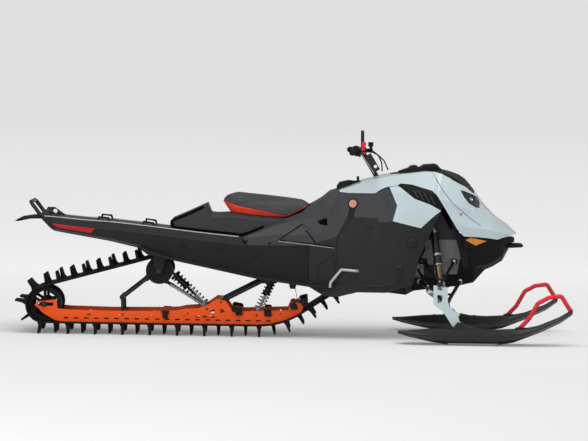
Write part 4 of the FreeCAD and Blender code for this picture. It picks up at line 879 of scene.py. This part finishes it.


# Rear and tunnel

# Light strip along each top edge of the tunnel: a painted highlight of its rolled edge, not a part.
EDGE_HIGHLIGHT_LINE = [(-1.488 + 0.03 * k, 0.1757) for k in range(40)]
EDGE_HIGHLIGHT_RISE = Vector((0.0, 0.0, 0.0015))
TOP_RIVETS = 11
TOP_RIVETS_FROM = (-1.36, 0.163)
TUNNEL_FEET = (((-1.421, 0.622), (-1.36, 0.611), (-1.088, 0.566), (-0.918, 0.528)),
               ((-0.861, 0.487), (-0.719, 0.458), (-0.547, 0.423), (-0.188, 0.352), (0.095, 0.314)))
FLANGE_RISE = 0.009
RIVET_RISE = 0.022
STRIPE = (((-1.436, 0.664), (-1.4, 0.641)), ((-1.182, 0.638), (-1.205, 0.612)))
STRIPE_ROWS = 5
BASE_BORDERS = (((-0.715, 0.692), (-0.62, 0.732), (-0.53, 0.776)),
                ((-0.712, 0.65), (-0.5, 0.63), (-0.3, 0.612)),
                ((-0.722, 0.69), (-0.716, 0.65)),
                ((-0.3, 0.61), (-0.17, 0.662)))
PRESSINGS = (((-0.671, 0.558), (-0.629, 0.535), (-0.557, 0.532), (-0.526, 0.555)),
             ((-0.37, 0.497), (-0.304, 0.486), (-0.255, 0.523), (-0.219, 0.542)),
             ((-0.473, 0.526), (-0.401, 0.522), (-0.364, 0.498)),
             ((-0.292, 0.462), (-0.244, 0.457), (-0.207, 0.494), (-0.159, 0.507)))


class SNOW_OT_tunnel_trim(bpy.types.Operator):
    """Pressed ribs, light strips that paint a highlight on the top edges, stripe, flanges and rivets of the
    tunnel, and borders of the seat's base
    """
    bl_idname = "snowmobile.tunnel_trim"
    bl_label = "Tunnel trim"

    def execute(self, context):
        sizes = context.scene.snowmobile_details
        tunnel = surface("tunnel")
        rear, front = (raised(line, FLANGE_RISE) for line in TUNNEL_FEET)

        # Painted highlight: a light metal strip laid along each top edge.
        def edges(bm, side):
            swept(bm, [top_hit(tunnel, x, side * y)[0] + EDGE_HIGHLIGHT_RISE for x, y in EDGE_HIGHLIGHT_LINE],
                  radius=0.0032)

        def stripes(bm, side):
            shares = [k / STRIPE_ROWS for k in range(STRIPE_ROWS + 1)]
            lines = [[blend(top, low, share) for top, low in STRIPE] for share in shares]
            for upper, lower in zip(lines, lines[1:]):
                patch(bm, side, tunnel, upper, lower, rise=0.0012)

        def flanges(bm, side):
            ribbon(bm, side, tunnel, rear, width=0.012, rise=0.003)
            ribbon(bm, side, tunnel, front, width=0.01, rise=0.0025)

        mesh_from("tunnel_pressings", "tunnel", "dark_metal", ribbons, tunnel, PRESSINGS, width=0.009,
                  rise=0.0035, bevel=0.0015)
        mesh_from("tunnel_edge_highlights", "light_metal", "dark_metal", edges)
        mesh_from("tunnel_stripes", "stripe", "dark_metal", stripes)
        mesh_from("tunnel_flanges", "charcoal", "dark_metal", flanges, bevel=0.0008)
        mesh_from("base_borders", "shade_and_joints", "dark_plastic", ribbons, surface("seat_base"), BASE_BORDERS,
                  width=0.015, rise=0.003, bevel=0.0008)
        pitch = sizes.rivet_pitch
        x, y = TOP_RIVETS_FROM
        rows = [top_hit(tunnel, x + pitch * k, side * y) for side in SIDES for k in range(TOP_RIVETS)]
        for line in TUNNEL_FEET:
            rows += both_hits(tunnel, line_steps(raised(line, RIVET_RISE), pitch))
        repeated("tunnel_rivets", rivet_shape, rows, "metal_black", "dark_metal",
                 head_radius=sizes.rivet_radius)
        return {"FINISHED"}


BOARD_ROWS = (0.229, 0.3205)
TEETH_X = [-0.69 + 0.018 * k for k in range(50)]


class SNOW_OT_board_teeth(bpy.types.Operator):
    """Rows of grip teeth on the running boards"""
    bl_idname = "snowmobile.board_teeth"
    bl_label = "Board teeth"

    def execute(self, context):
        boards = surface("running_boards")
        places = [top_hit(boards, x, side * row) for side in SIDES for row in BOARD_ROWS for x in TEETH_X]
        repeated("board_teeth", tooth_shape, places, "metal_black", "dark_metal", foot_radius=0.0032,
                 height=0.005)
        return {"FINISHED"}


# Track suspension

ROD_TOP = (-0.756, 0.05, 0.312)
ROD_FOOT = (-0.506, 0.05, 0.162)
ROD = ((0.03, 0.006), (0.03, 0.0085), (0.05, 0.0085), (0.052, 0.0068), (0.252, 0.0068), (0.254, 0.0085),
       (0.274, 0.0085), (0.274, 0.006))
REAR_AXLE = (-1.483, 0.175)
TOP_AXLE = (-0.793, 0.389)
FRONT_AXLE = (0.018, 0.187)
AXLE_BOLTS = ((REAR_AXLE, 0.166, 0.177, 0.012), (TOP_AXLE, 0.2202, 0.229, 0.011),
              (FRONT_AXLE, 0.1761, 0.182, 0.006))
ROLLER_CAP = ((0.0, 0.02), (0.003, 0.02), (0.005, 0.017), (0.005, 0.011))
RAIL_BOLTS = ((-1.21, 0.118), (-1.012, 0.122), (-0.752, 0.126), (-0.62, 0.132), (-0.503, 0.16),
              (-0.419, 0.205), (-0.32, 0.155), (-0.205, 0.128), (-0.136, 0.142), (0.04, 0.172),
              (0.078, 0.213))


def across(spot, y0, y1):
    """Ends of a line across the vehicle at an (x, z) spot."""
    return (spot[0], y0, spot[1]), (spot[0], y1, spot[1])


def bolt_end(bm, side, spot, y0, y1, radius):
    """Bolt head or nut with a washer, across the vehicle, from y0 out to y1."""
    reach = abs(y1 - y0)
    ends = across(spot, y0, y1)
    turned(bm, side, *ends, [(0.0, radius * 1.25), (reach * 0.25, radius * 1.25)], 20)
    turned(bm, side, *ends, [(reach * 0.2, radius), (reach * 0.92, radius), (reach, radius * 0.85)], 6)


class SNOW_OT_track_fittings(bpy.types.Operator):
    """Pull rods, axle bolts and rail bolts"""
    bl_idname = "snowmobile.track_fittings"
    bl_label = "Track fittings"

    def execute(self, context):
        sizes = context.scene.snowmobile_details

        def hubs(bm, side):
            for spot, y0, y1, radius in AXLE_BOLTS:
                bolt_end(bm, side, spot, y0, y1, radius)
            turned(bm, side, *across(TOP_AXLE, 0.161, 0.17), ROLLER_CAP)

        mesh_from("pull_rods", "light_metal", "light_metal", turned, ROD_TOP, ROD_FOOT, ROD)
        mesh_from("axle_bolts", "metal_black", "black_metal", hubs)
        repeated("rail_bolts", screw_shape, both_hits(surface("rails", "rail_blocks"), RAIL_BOLTS),
                 "metal_black", "orange_metal", head_radius=sizes.screw_radius * 0.8, head_height=0.005)
        return {"FINISHED"}


# Body details

BODY_NODES = ("console", "side_panels", "side_covers", "hood", "nose")
LATCH = (0.3625, 0.815)
LATCH_STRAP = ((0.3605, 0.793), (0.3485, 0.737))
LATCH_RING = ((0.0, 0.0315), (0.004, 0.0315), (0.007, 0.029), (0.007, 0.025), (0.003, 0.024))
LATCH_CAP = ((0.001, 0.0238), (0.0065, 0.0238), (0.0085, 0.021), (0.009, 0.0))
# Painted highlight: a light strip along the pocket's lower edge.
POCKET_HIGHLIGHT_LINE = ((-0.08, 0.581), (0.1, 0.564), (0.255, 0.548))
# Painted shade: black strips along the pocket's edges.
POCKET_SHADE_LINES = (((-0.074, 0.592), (0.06, 0.682)), ((0.085, 0.65), (0.146, 0.572)),
               ((-0.07, 0.588), (0.25, 0.556)))
# Painted shade: a black patch where the console's hole is.
HOLE_TOP = ((0.153, 0.701), (0.208, 0.727))
HOLE_LOW = ((0.172, 0.686), (0.212, 0.68))
PANEL_RIM = ((0.4, 0.333), (0.53, 0.33), (0.63, 0.35), (0.672, 0.42))
PANEL_CREASE = ((0.6, 0.655), (0.5, 0.567), (0.4, 0.485))
PANEL_BOSSES = (((0.716, 0.588), 0.03), ((0.647, 0.431), 0.024))
BOSS_STEPS = ((0.0, 1.0), (0.006, 0.96), (0.011, 0.7), (0.012, 0.45), (0.009, 0.4), (0.009, 0.0))
SHOULDER_BOLTS = ((-0.27, 0.579), (-0.133, 0.567))
NOSE_STUD = (1.009, 0.76)


class SNOW_OT_body_details(bpy.types.Operator):
    """Panel rims, bosses, latches with their straps, a light strip painting the pocket's highlight, black
    strips painting shade at its edges and in the console hole, screws and nose studs
    """
    bl_idname = "snowmobile.body_details"
    bl_label = "Body details"

    def execute(self, context):
        head = {"head_radius": context.scene.snowmobile_details.screw_radius, "head_height": 0.004}
        body = surface(*BODY_NODES)
        panels = surface("side_panels", "belly_pan")

        def bosses(bm, side):
            for spot, radius in PANEL_BOSSES:
                profile = [(along, radius * share) for along, share in BOSS_STEPS]
                studded(bm, side, panels, spot, profile, sink=0.004)

        def rims(bm, side):
            ribbon(bm, side, panels, PANEL_RIM, width=0.012, rise=0.004)
            ribbon(bm, side, panels, PANEL_CREASE, width=0.006, rise=0.0016)

        mesh_from("panel_rims", "side", "black_plastic", rims, bevel=0.001)
        mesh_from("panel_bosses", "side", "black_plastic", bosses)
        mesh_from("latch_rings", "black", "black_plastic", studded, body, LATCH, LATCH_RING, sink=0.001)
        mesh_from("latch_caps", "latch", "black_plastic", studded, body, LATCH, LATCH_CAP, sink=0.001)
        mesh_from("latch_straps", "black", "black_plastic", ribbon, body, LATCH_STRAP, width=0.034,
                  rise=0.004, step=0.01, bevel=0.001)
        # Light strip that paints the highlight on the pocket's lower edge.
        mesh_from("pocket_highlights", "edge", "dark_plastic", ribbon, body, POCKET_HIGHLIGHT_LINE, width=0.0028,
                  rise=0.0016)
        # Black strips that paint the shade along the pocket's edges.
        mesh_from("pocket_shade_lines", "shade_and_joints", "dark_plastic", ribbons, body, POCKET_SHADE_LINES, width=0.006,
                  rise=0.0016, bevel=0.0008)
        # Black patch that paints the shade inside the console's hole.
        mesh_from("console_hole_shade", "shade_and_joints", "dark_plastic", patch, body, HOLE_TOP, HOLE_LOW, rise=0.0006,
                  step=0.01)
        repeated("panel_screws", screw_shape, both_hits(surface("console", "tunnel"), SHOULDER_BOLTS),
                 "black", "black_plastic", **head)
        repeated("nose_studs", screw_shape, both_hits(body, [NOSE_STUD]), "edge", "black_plastic", **head)
        return {"FINISHED"}


# Air mesh, lamps and nose

MESH_FROM_X = 0.868
SCAN_STEP = 0.0005
MESH_EDGE = ((0.86, 0.122), (0.92, 0.138), (0.98, 0.136), (1.02, 0.122), (1.05, 0.106), (1.075, 0.088))
LAMP_CUP = (1.074, 0.848)
CUP = ((0.0, 0.0125), (0.0035, 0.0125), (0.004, 0.0095), (0.0024, 0.0065), (0.003, 0.003), (0.0032, 0.0))
VENT_SLATS = (((0.722, 0.9), (0.748, 0.858)), ((0.75, 0.895), (0.782, 0.846)),
              ((0.783, 0.885), (0.816, 0.832)), ((0.818, 0.873), (0.848, 0.822)))
# Black sheet inside the nose, standing in for the shade of its inside.
NOSE_SHADE_SHEET = ((0.876, 0.823), (0.906, 0.823), (0.943, 0.758), (0.98, 0.69), (0.95, 0.665), (0.92, 0.727),
              (0.889, 0.775))
NOSE_SEAM = ((0.858, 0.972), (0.885, 0.925), (0.95, 0.835), (1.055, 0.745), (1.13, 0.694))


def mesh_cells(tree, radius):
    """Centres of a honeycomb laid over the front of the black cover."""
    columns = [top_hit(tree, MESH_FROM_X, 0.0)[0]]
    x = MESH_FROM_X
    while x < MESH_EDGE[-1][0]:
        x += SCAN_STEP
        place = top_hit(tree, x, 0.0)[0]
        if (place - columns[-1]).length >= 1.5 * radius:
            columns.append(place)
    cells = []
    pitch = math.sqrt(3.0) * radius
    for i, column in enumerate(columns):
        reach = height_on(MESH_EDGE, column.x) - radius
        count = int(reach / pitch)
        widths = [(j + 0.5 * (i % 2)) * pitch for j in range(-count, count + 1)]
        cells += [top_hit(tree, column.x, y) for y in widths if abs(y) < reach]
    return cells


class SNOW_OT_front_details(bpy.types.Operator):
    """Air mesh of the black cover, lamp cups, black sheets that paint shade inside the nose, vent slats and
    nose seams
    """
    bl_idname = "snowmobile.front_details"
    bl_label = "Front details"

    def execute(self, context):
        radius = context.scene.snowmobile_details.cell_radius
        repeated("air_mesh", cell_shape, mesh_cells(surface("top_cover"), radius), "charcoal",
                 "black_plastic", loop_radius=radius, wire_radius=0.0008)
        lamps = surface("headlights")
        mesh_from("lamp_cups", "chrome", "lamp_lens", studded, lamps, LAMP_CUP, CUP, sink=0.002,
                  corners=24)
        # Painted shade: black sheets inside the nose where its inside is seen.
        mesh_from("nose_shade_sheets", "shade_and_joints", "black_plastic", slab, NOSE_SHADE_SHEET, y0=0.146, y1=0.15)
        mesh_from("vent_slats", "charcoal", "black_plastic", ribbons, surface("vents"), VENT_SLATS,
                  width=0.007, rise=0.004, step=0.012, bevel=0.0008)
        mesh_from("nose_seams", "seam", "ice_paint", ribbon, surface("nose", "hood"), NOSE_SEAM,
                  width=0.0028, rise=0.0006, step=0.01)
        return {"FINISHED"}


# Front suspension

DAMPER_TOP = (0.850, 0.190, 0.668)
DAMPER_FOOT = (0.900, 0.300, 0.306)
DAMPER_RINGS = ((0.03, 0.042, 0.012, 0.021), (0.40, 0.014, 0.0225, 0.0275), (0.565, 0.01, 0.0225, 0.0262),
                (0.87, 0.024, 0.012, 0.0262))
SLEEVE_STEPS = ((0.60, 0.012), (0.60, 0.0225), (0.80, 0.0225), (0.82, 0.018), (0.86, 0.018), (0.86, 0.012))
ARM_PIVOTS = ((0.770, 0.130, 0.352), (1.020, 0.130, 0.352), (0.980, 0.130, 0.470))
BRACKET = ((0.742, 0.348), (0.738, 0.43), (0.762, 0.455), (0.8, 0.448), (0.812, 0.4), (0.835, 0.36),
           (0.826, 0.335), (0.77, 0.338))
BRACKET_BOLTS = ((0.762, 0.43), (0.79, 0.425), (0.812, 0.352))
INNER_WEB = ((0.8, 0.335), (0.8, 0.47), (0.93, 0.46), (0.95, 0.335))
SKI_Y = 0.457
SKI_BOLT = (1.0, 0.112)
LEG_HALF = 0.0405
NUT_DEPTH = 0.0075
SIDE_NAMES = tuple(zip(SIDES, ("right", "left")))


class SNOW_OT_front_fittings(bpy.types.Operator):
    """Inner webs, rings and sleeves of the front dampers, pivot brackets and the legs' nuts"""
    bl_idname = "snowmobile.front_fittings"
    bl_label = "Front fittings"

    def execute(self, context):
        run = math.dist(DAMPER_TOP, DAMPER_FOOT)
        sleeve = [(share * run, radius) for share, radius in SLEEVE_STEPS]

        def rings(bm, side):
            for share, width, inner, outer in DAMPER_RINGS:
                turned(bm, side, DAMPER_TOP, DAMPER_FOOT, band(share * run, width, inner, outer))
            for x, y, z in ARM_PIVOTS:
                turned(bm, side, (x - 0.02, y, z), (x + 0.02, y, z), band(0.012, 0.016, 0.015, 0.0185))

        def brackets(bm, side):
            slab(bm, side, BRACKET, y0=0.1085, y1=0.105)
            for spot in BRACKET_BOLTS:
                bolt_end(bm, side, spot, 0.108, 0.1125, radius=0.0075)

        def nuts(bm, side):
            for edge in SIDES:
                y = SKI_Y + edge * LEG_HALF
                bolt_end(bm, side, SKI_BOLT, y, y + edge * NUT_DEPTH, radius=0.0115)

        mesh_from("inner_webs", "side", "black_metal", slab, INNER_WEB, y0=0.1105, y1=0.1075)
        mesh_from("damper_rings", "steel", "spring_steel", rings)
        mesh_from("damper_sleeves", "bronze", "spring_steel", turned, DAMPER_TOP, DAMPER_FOOT, sleeve)
        mesh_from("pivot_brackets", "alloy", "black_metal", brackets, bevel=0.002)
        for side, name in SIDE_NAMES:
            mesh_from("leg_nuts_" + name, "metal_black", "ice_metal", nuts, body="leg_" + name, sides=(side,))
        return {"FINISHED"}


# Skis

WEAR_STRIP = ((0.94, 0.001), (0.93, 0.009), (1.235, 0.009), (1.215, 0.001))
SKI_SCREWS = ((1.36, 0.012), (1.36, -0.012), (1.392, 0.0), (1.15, 0.033), (1.15, -0.033), (0.9, 0.033),
              (0.9, -0.033), (1.62, 0.0))


class SNOW_OT_ski_details(bpy.types.Operator):
    """Wear strips and bolts of both skis"""
    bl_idname = "snowmobile.ski_details"
    bl_label = "Ski details"

    def execute(self, context):
        def strips(bm, side):
            for edge in SIDES:
                slab(bm, side, WEAR_STRIP, SKI_Y + edge * 0.0068, SKI_Y + edge * 0.0086)

        for side, name in SIDE_NAMES:
            ski = "ski_" + name
            mesh_from("wear_strips_" + name, "steel", "ski_plastic", strips, body=ski, sides=(side,))
            places = [top_hit(surface(ski), x, side * SKI_Y + y) for x, y in SKI_SCREWS]
            repeated("ski_bolts_" + name, screw_shape, places, "metal_black", "ski_plastic", body=ski,
                     head_radius=0.007, head_height=0.005)
        return {"FINISHED"}


# Handlebar

RED_CLAMP = ((0.419, 0.052, 1.12), (0.415, 0.088, 1.121))
CLAMP_STEM = ((0.423, 0.07, 1.134), (0.427, 0.07, 1.18))
STEM_STEPS = ((0.0, 0.009), (0.02, 0.009), (0.022, 0.0145), (0.04, 0.0145), (0.044, 0.012), (0.044, 0.0))
GRIP_FROM = 0.004
GRIP_LENGTH = 0.1085
GRIP_END = (0.351, 0.360, 1.122)
GRIP_BEND = (0.397, 0.190, 1.124)
# Light strips along the steering post: painted highlights of its edges, not wires.
POST_HIGHLIGHT = ((0.414, 0.02, 1.108), (0.452, 0.022, 1.052), (0.492, 0.02, 0.99))


def grip_path(side):
    """Middle line of one grip."""
    end = mirrored(GRIP_END, side)
    way = (mirrored(GRIP_BEND, side) - end).normalized()
    return [end + way * (GRIP_FROM + GRIP_LENGTH * k / 6) for k in range(7)]


class SNOW_OT_handlebar_details(bpy.types.Operator):
    """Grip ribs, red clamps and light strips that paint highlights along the post"""
    bl_idname = "snowmobile.handlebar_details"
    bl_label = "Handlebar details"

    def execute(self, context):
        repeated("grip_ribs", ring_shape, [grip_path(side) for side in SIDES], "rubber", "grip_rubber",
                 body="handlebar", loop_radius=0.0168, wire_radius=0.0013,
                 spacing=context.scene.snowmobile_details.rib_pitch)

        def clamps(bm, side):
            turned(bm, side, *RED_CLAMP, band(0.0, 0.034, 0.0112, 0.0195))
            turned(bm, side, *CLAMP_STEM, STEM_STEPS)

        # Painted highlights: light strips along both sides of the post.
        def highlight_lines(bm, side):
            swept(bm, smooth_line([mirrored(point, side) for point in POST_HIGHLIGHT]), radius=0.0032)

        mesh_from("bar_clamps", "red", "black_metal", clamps, body="handlebar")
        mesh_from("post_highlights", "light_metal", "black_metal", highlight_lines, body="handlebar")
        return {"FINISHED"}


# Stage

FLOOR_REACH = 70.0
KEY_PLACE = (0.4, -2.2, 5.2)
FILL_PLACE = (-2.5, -8.0, 2.6)
GLOW_CENTRE = (0.25, -2.2, 0.0)
GLOW_SHAPE = (0.625, 1.0, 0.0)
SEEN_SKY = (0.745, 0.745, 0.745, 1.0)
WHITE = (1.0, 1.0, 1.0, 1.0)


def make_camera(settings):
    """Camera at the photograph's place."""
    data = bpy.data.cameras.new("photo_camera")
    data.sensor_width = 36.0
    data.lens = data.sensor_width * settings.focal_px / PHOTO_WIDTH
    data.clip_end = 200.0
    camera = join_scene("photo_camera", data)
    camera.matrix_world = (Matrix.Translation((settings.eye_x, settings.eye_y, settings.eye_z))
                           @ Matrix.Rotation(math.pi / 2 - settings.pitch, 4, "X")
                           @ Matrix.Rotation(settings.roll, 4, "Z"))
    bpy.context.scene.camera = camera
    return camera


def floor_finish(lift):
    """Pale matte paint that the camera and reflections see a little brighter than it is lit."""
    material, tree, shader = new_material("floor_paint")
    path = node(tree, "ShaderNodeLightPath").outputs
    seen = maths(tree, "MAXIMUM", path["Is Camera Ray"], path["Is Glossy Ray"])
    seen = maths(tree, "MAXIMUM", seen, path["Is Transmission Ray"])
    away = node(tree, "ShaderNodeVectorMath", operation="DISTANCE", Vector=stretched(tree, GLOW_SHAPE))
    away.inputs[1].default_value = GLOW_CENTRE
    away = away.outputs["Value"]
    near = between(tree, away, 0.12, 1.0, 0.6, 7.7)
    far = between(tree, away, lift, lift * 0.87, 24.0, 72.0)
    feed(tree, shader, Base_Color=mixed(tree, noise(tree, 0.4), (0.79, 0.79, 0.79), (0.81, 0.81, 0.81)),
         Roughness=0.9, Specular_IOR_Level=0.1, Emission_Color=WHITE,
         Emission_Strength=maths(tree, "MULTIPLY", maths(tree, "MULTIPLY", seen, far), near))
    return material


def make_floor(lift):
    """Wide flat floor."""
    corners = [(x * FLOOR_REACH, y * FLOOR_REACH, 0.0) for x, y in ((-1, -1), (1, -1), (1, 1), (-1, 1))]
    mesh = bpy.data.meshes.new("floor")
    mesh.from_pydata(corners, [], [(0, 1, 2, 3)])
    mesh.materials.append(floor_finish(lift))
    return join_scene("floor", mesh)


def make_area_light(name, place, target, size, power):
    """Soft rectangular light that faces a target."""
    data = bpy.data.lights.new(name, "AREA")
    data.shape = "RECTANGLE"
    data.size, data.size_y = size
    data.energy = power
    light = join_scene(name, data)
    light.location = place
    light.rotation_euler = (Vector(target) - Vector(place)).to_track_quat("-Z", "Y").to_euler()
    return light


def make_world(strength):
    """Even light all round, seen as pale grey."""
    world = bpy.data.worlds.new("studio")
    bpy.context.scene.world = world
    world.use_nodes = True
    tree = world.node_tree
    tree.nodes.clear()
    seen = node(tree, "ShaderNodeBackground", Color=SEEN_SKY, Strength=1.0)
    even = node(tree, "ShaderNodeBackground", Color=WHITE, Strength=strength)
    mix = node(tree, "ShaderNodeMixShader", Fac=node(tree, "ShaderNodeLightPath").outputs["Is Camera Ray"])
    for socket, light in zip(mix.inputs[1:], (even, seen)):
        plug(tree, socket, light.outputs[0])
    node(tree, "ShaderNodeOutputWorld", Surface=mix.outputs[0])


class SNOW_OT_stage(bpy.types.Operator):
    """Floor, soft lights and the camera at the photograph's place"""
    bl_idname = "snowmobile.stage"
    bl_label = "Stage"

    def execute(self, context):
        settings = context.scene.snowmobile_stage
        camera = make_camera(settings)
        floor = make_floor(settings.floor_lift)
        key = make_area_light("key_light", KEY_PLACE, (0.2, 0, 0.4), (6.0, 4.0), settings.key_power)
        fill = make_area_light("fill_light", FILL_PLACE, (0.2, 0, 0.5), (5.0, 3.0), settings.fill_power)
        make_world(settings.world_light)
        context.scene.view_settings.view_transform = "Standard"
        return {"FINISHED"}


class SNOW_PT_panel(bpy.types.Panel):
    """Buttons for each step of the looks"""
    bl_label = "Snowmobile"
    bl_idname = "SNOW_PT_panel"
    bl_space_type = "VIEW_3D"
    bl_region_type = "UI"
    bl_category = "Snowmobile"

    def draw(self, context):
        layout = self.layout
        for name in SETTINGS:
            settings = getattr(context.scene, name)
            for key in settings.bl_rna.properties.keys():
                if key not in ("rna_type", "name"):
                    layout.prop(settings, key)
        for operator in OPERATORS:
            layout.operator(operator.bl_idname)


OPERATORS = (SNOW_OT_finishes, SNOW_OT_seat, SNOW_OT_tunnel_trim, SNOW_OT_board_teeth, SNOW_OT_track_fittings,
             SNOW_OT_body_details, SNOW_OT_front_details, SNOW_OT_front_fittings, SNOW_OT_ski_details,
             SNOW_OT_handlebar_details, SNOW_OT_stage)
SETTINGS = {"snowmobile_stage": StageSettings, "snowmobile_looks": LookSettings,
            "snowmobile_details": DetailSettings}
CLASSES = tuple(SETTINGS.values()) + OPERATORS + (SNOW_PT_panel,)


def register():
    """Add the classes and their settings."""
    for cls in CLASSES:
        bpy.utils.register_class(cls)
    for name, cls in SETTINGS.items():
        setattr(bpy.types.Scene, name, PointerProperty(type=cls))


def unregister():
    """Take the settings and the classes away."""
    for name in SETTINGS:
        delattr(bpy.types.Scene, name)
    for cls in reversed(CLASSES):
        bpy.utils.unregister_class(cls)


def main():
    """Register the classes and make every piece in order."""
    register()
    for operator in OPERATORS:
        group, name = operator.bl_idname.split(".")
        getattr(getattr(bpy.ops, group), name)()


if __name__ == "__main__":
    main()
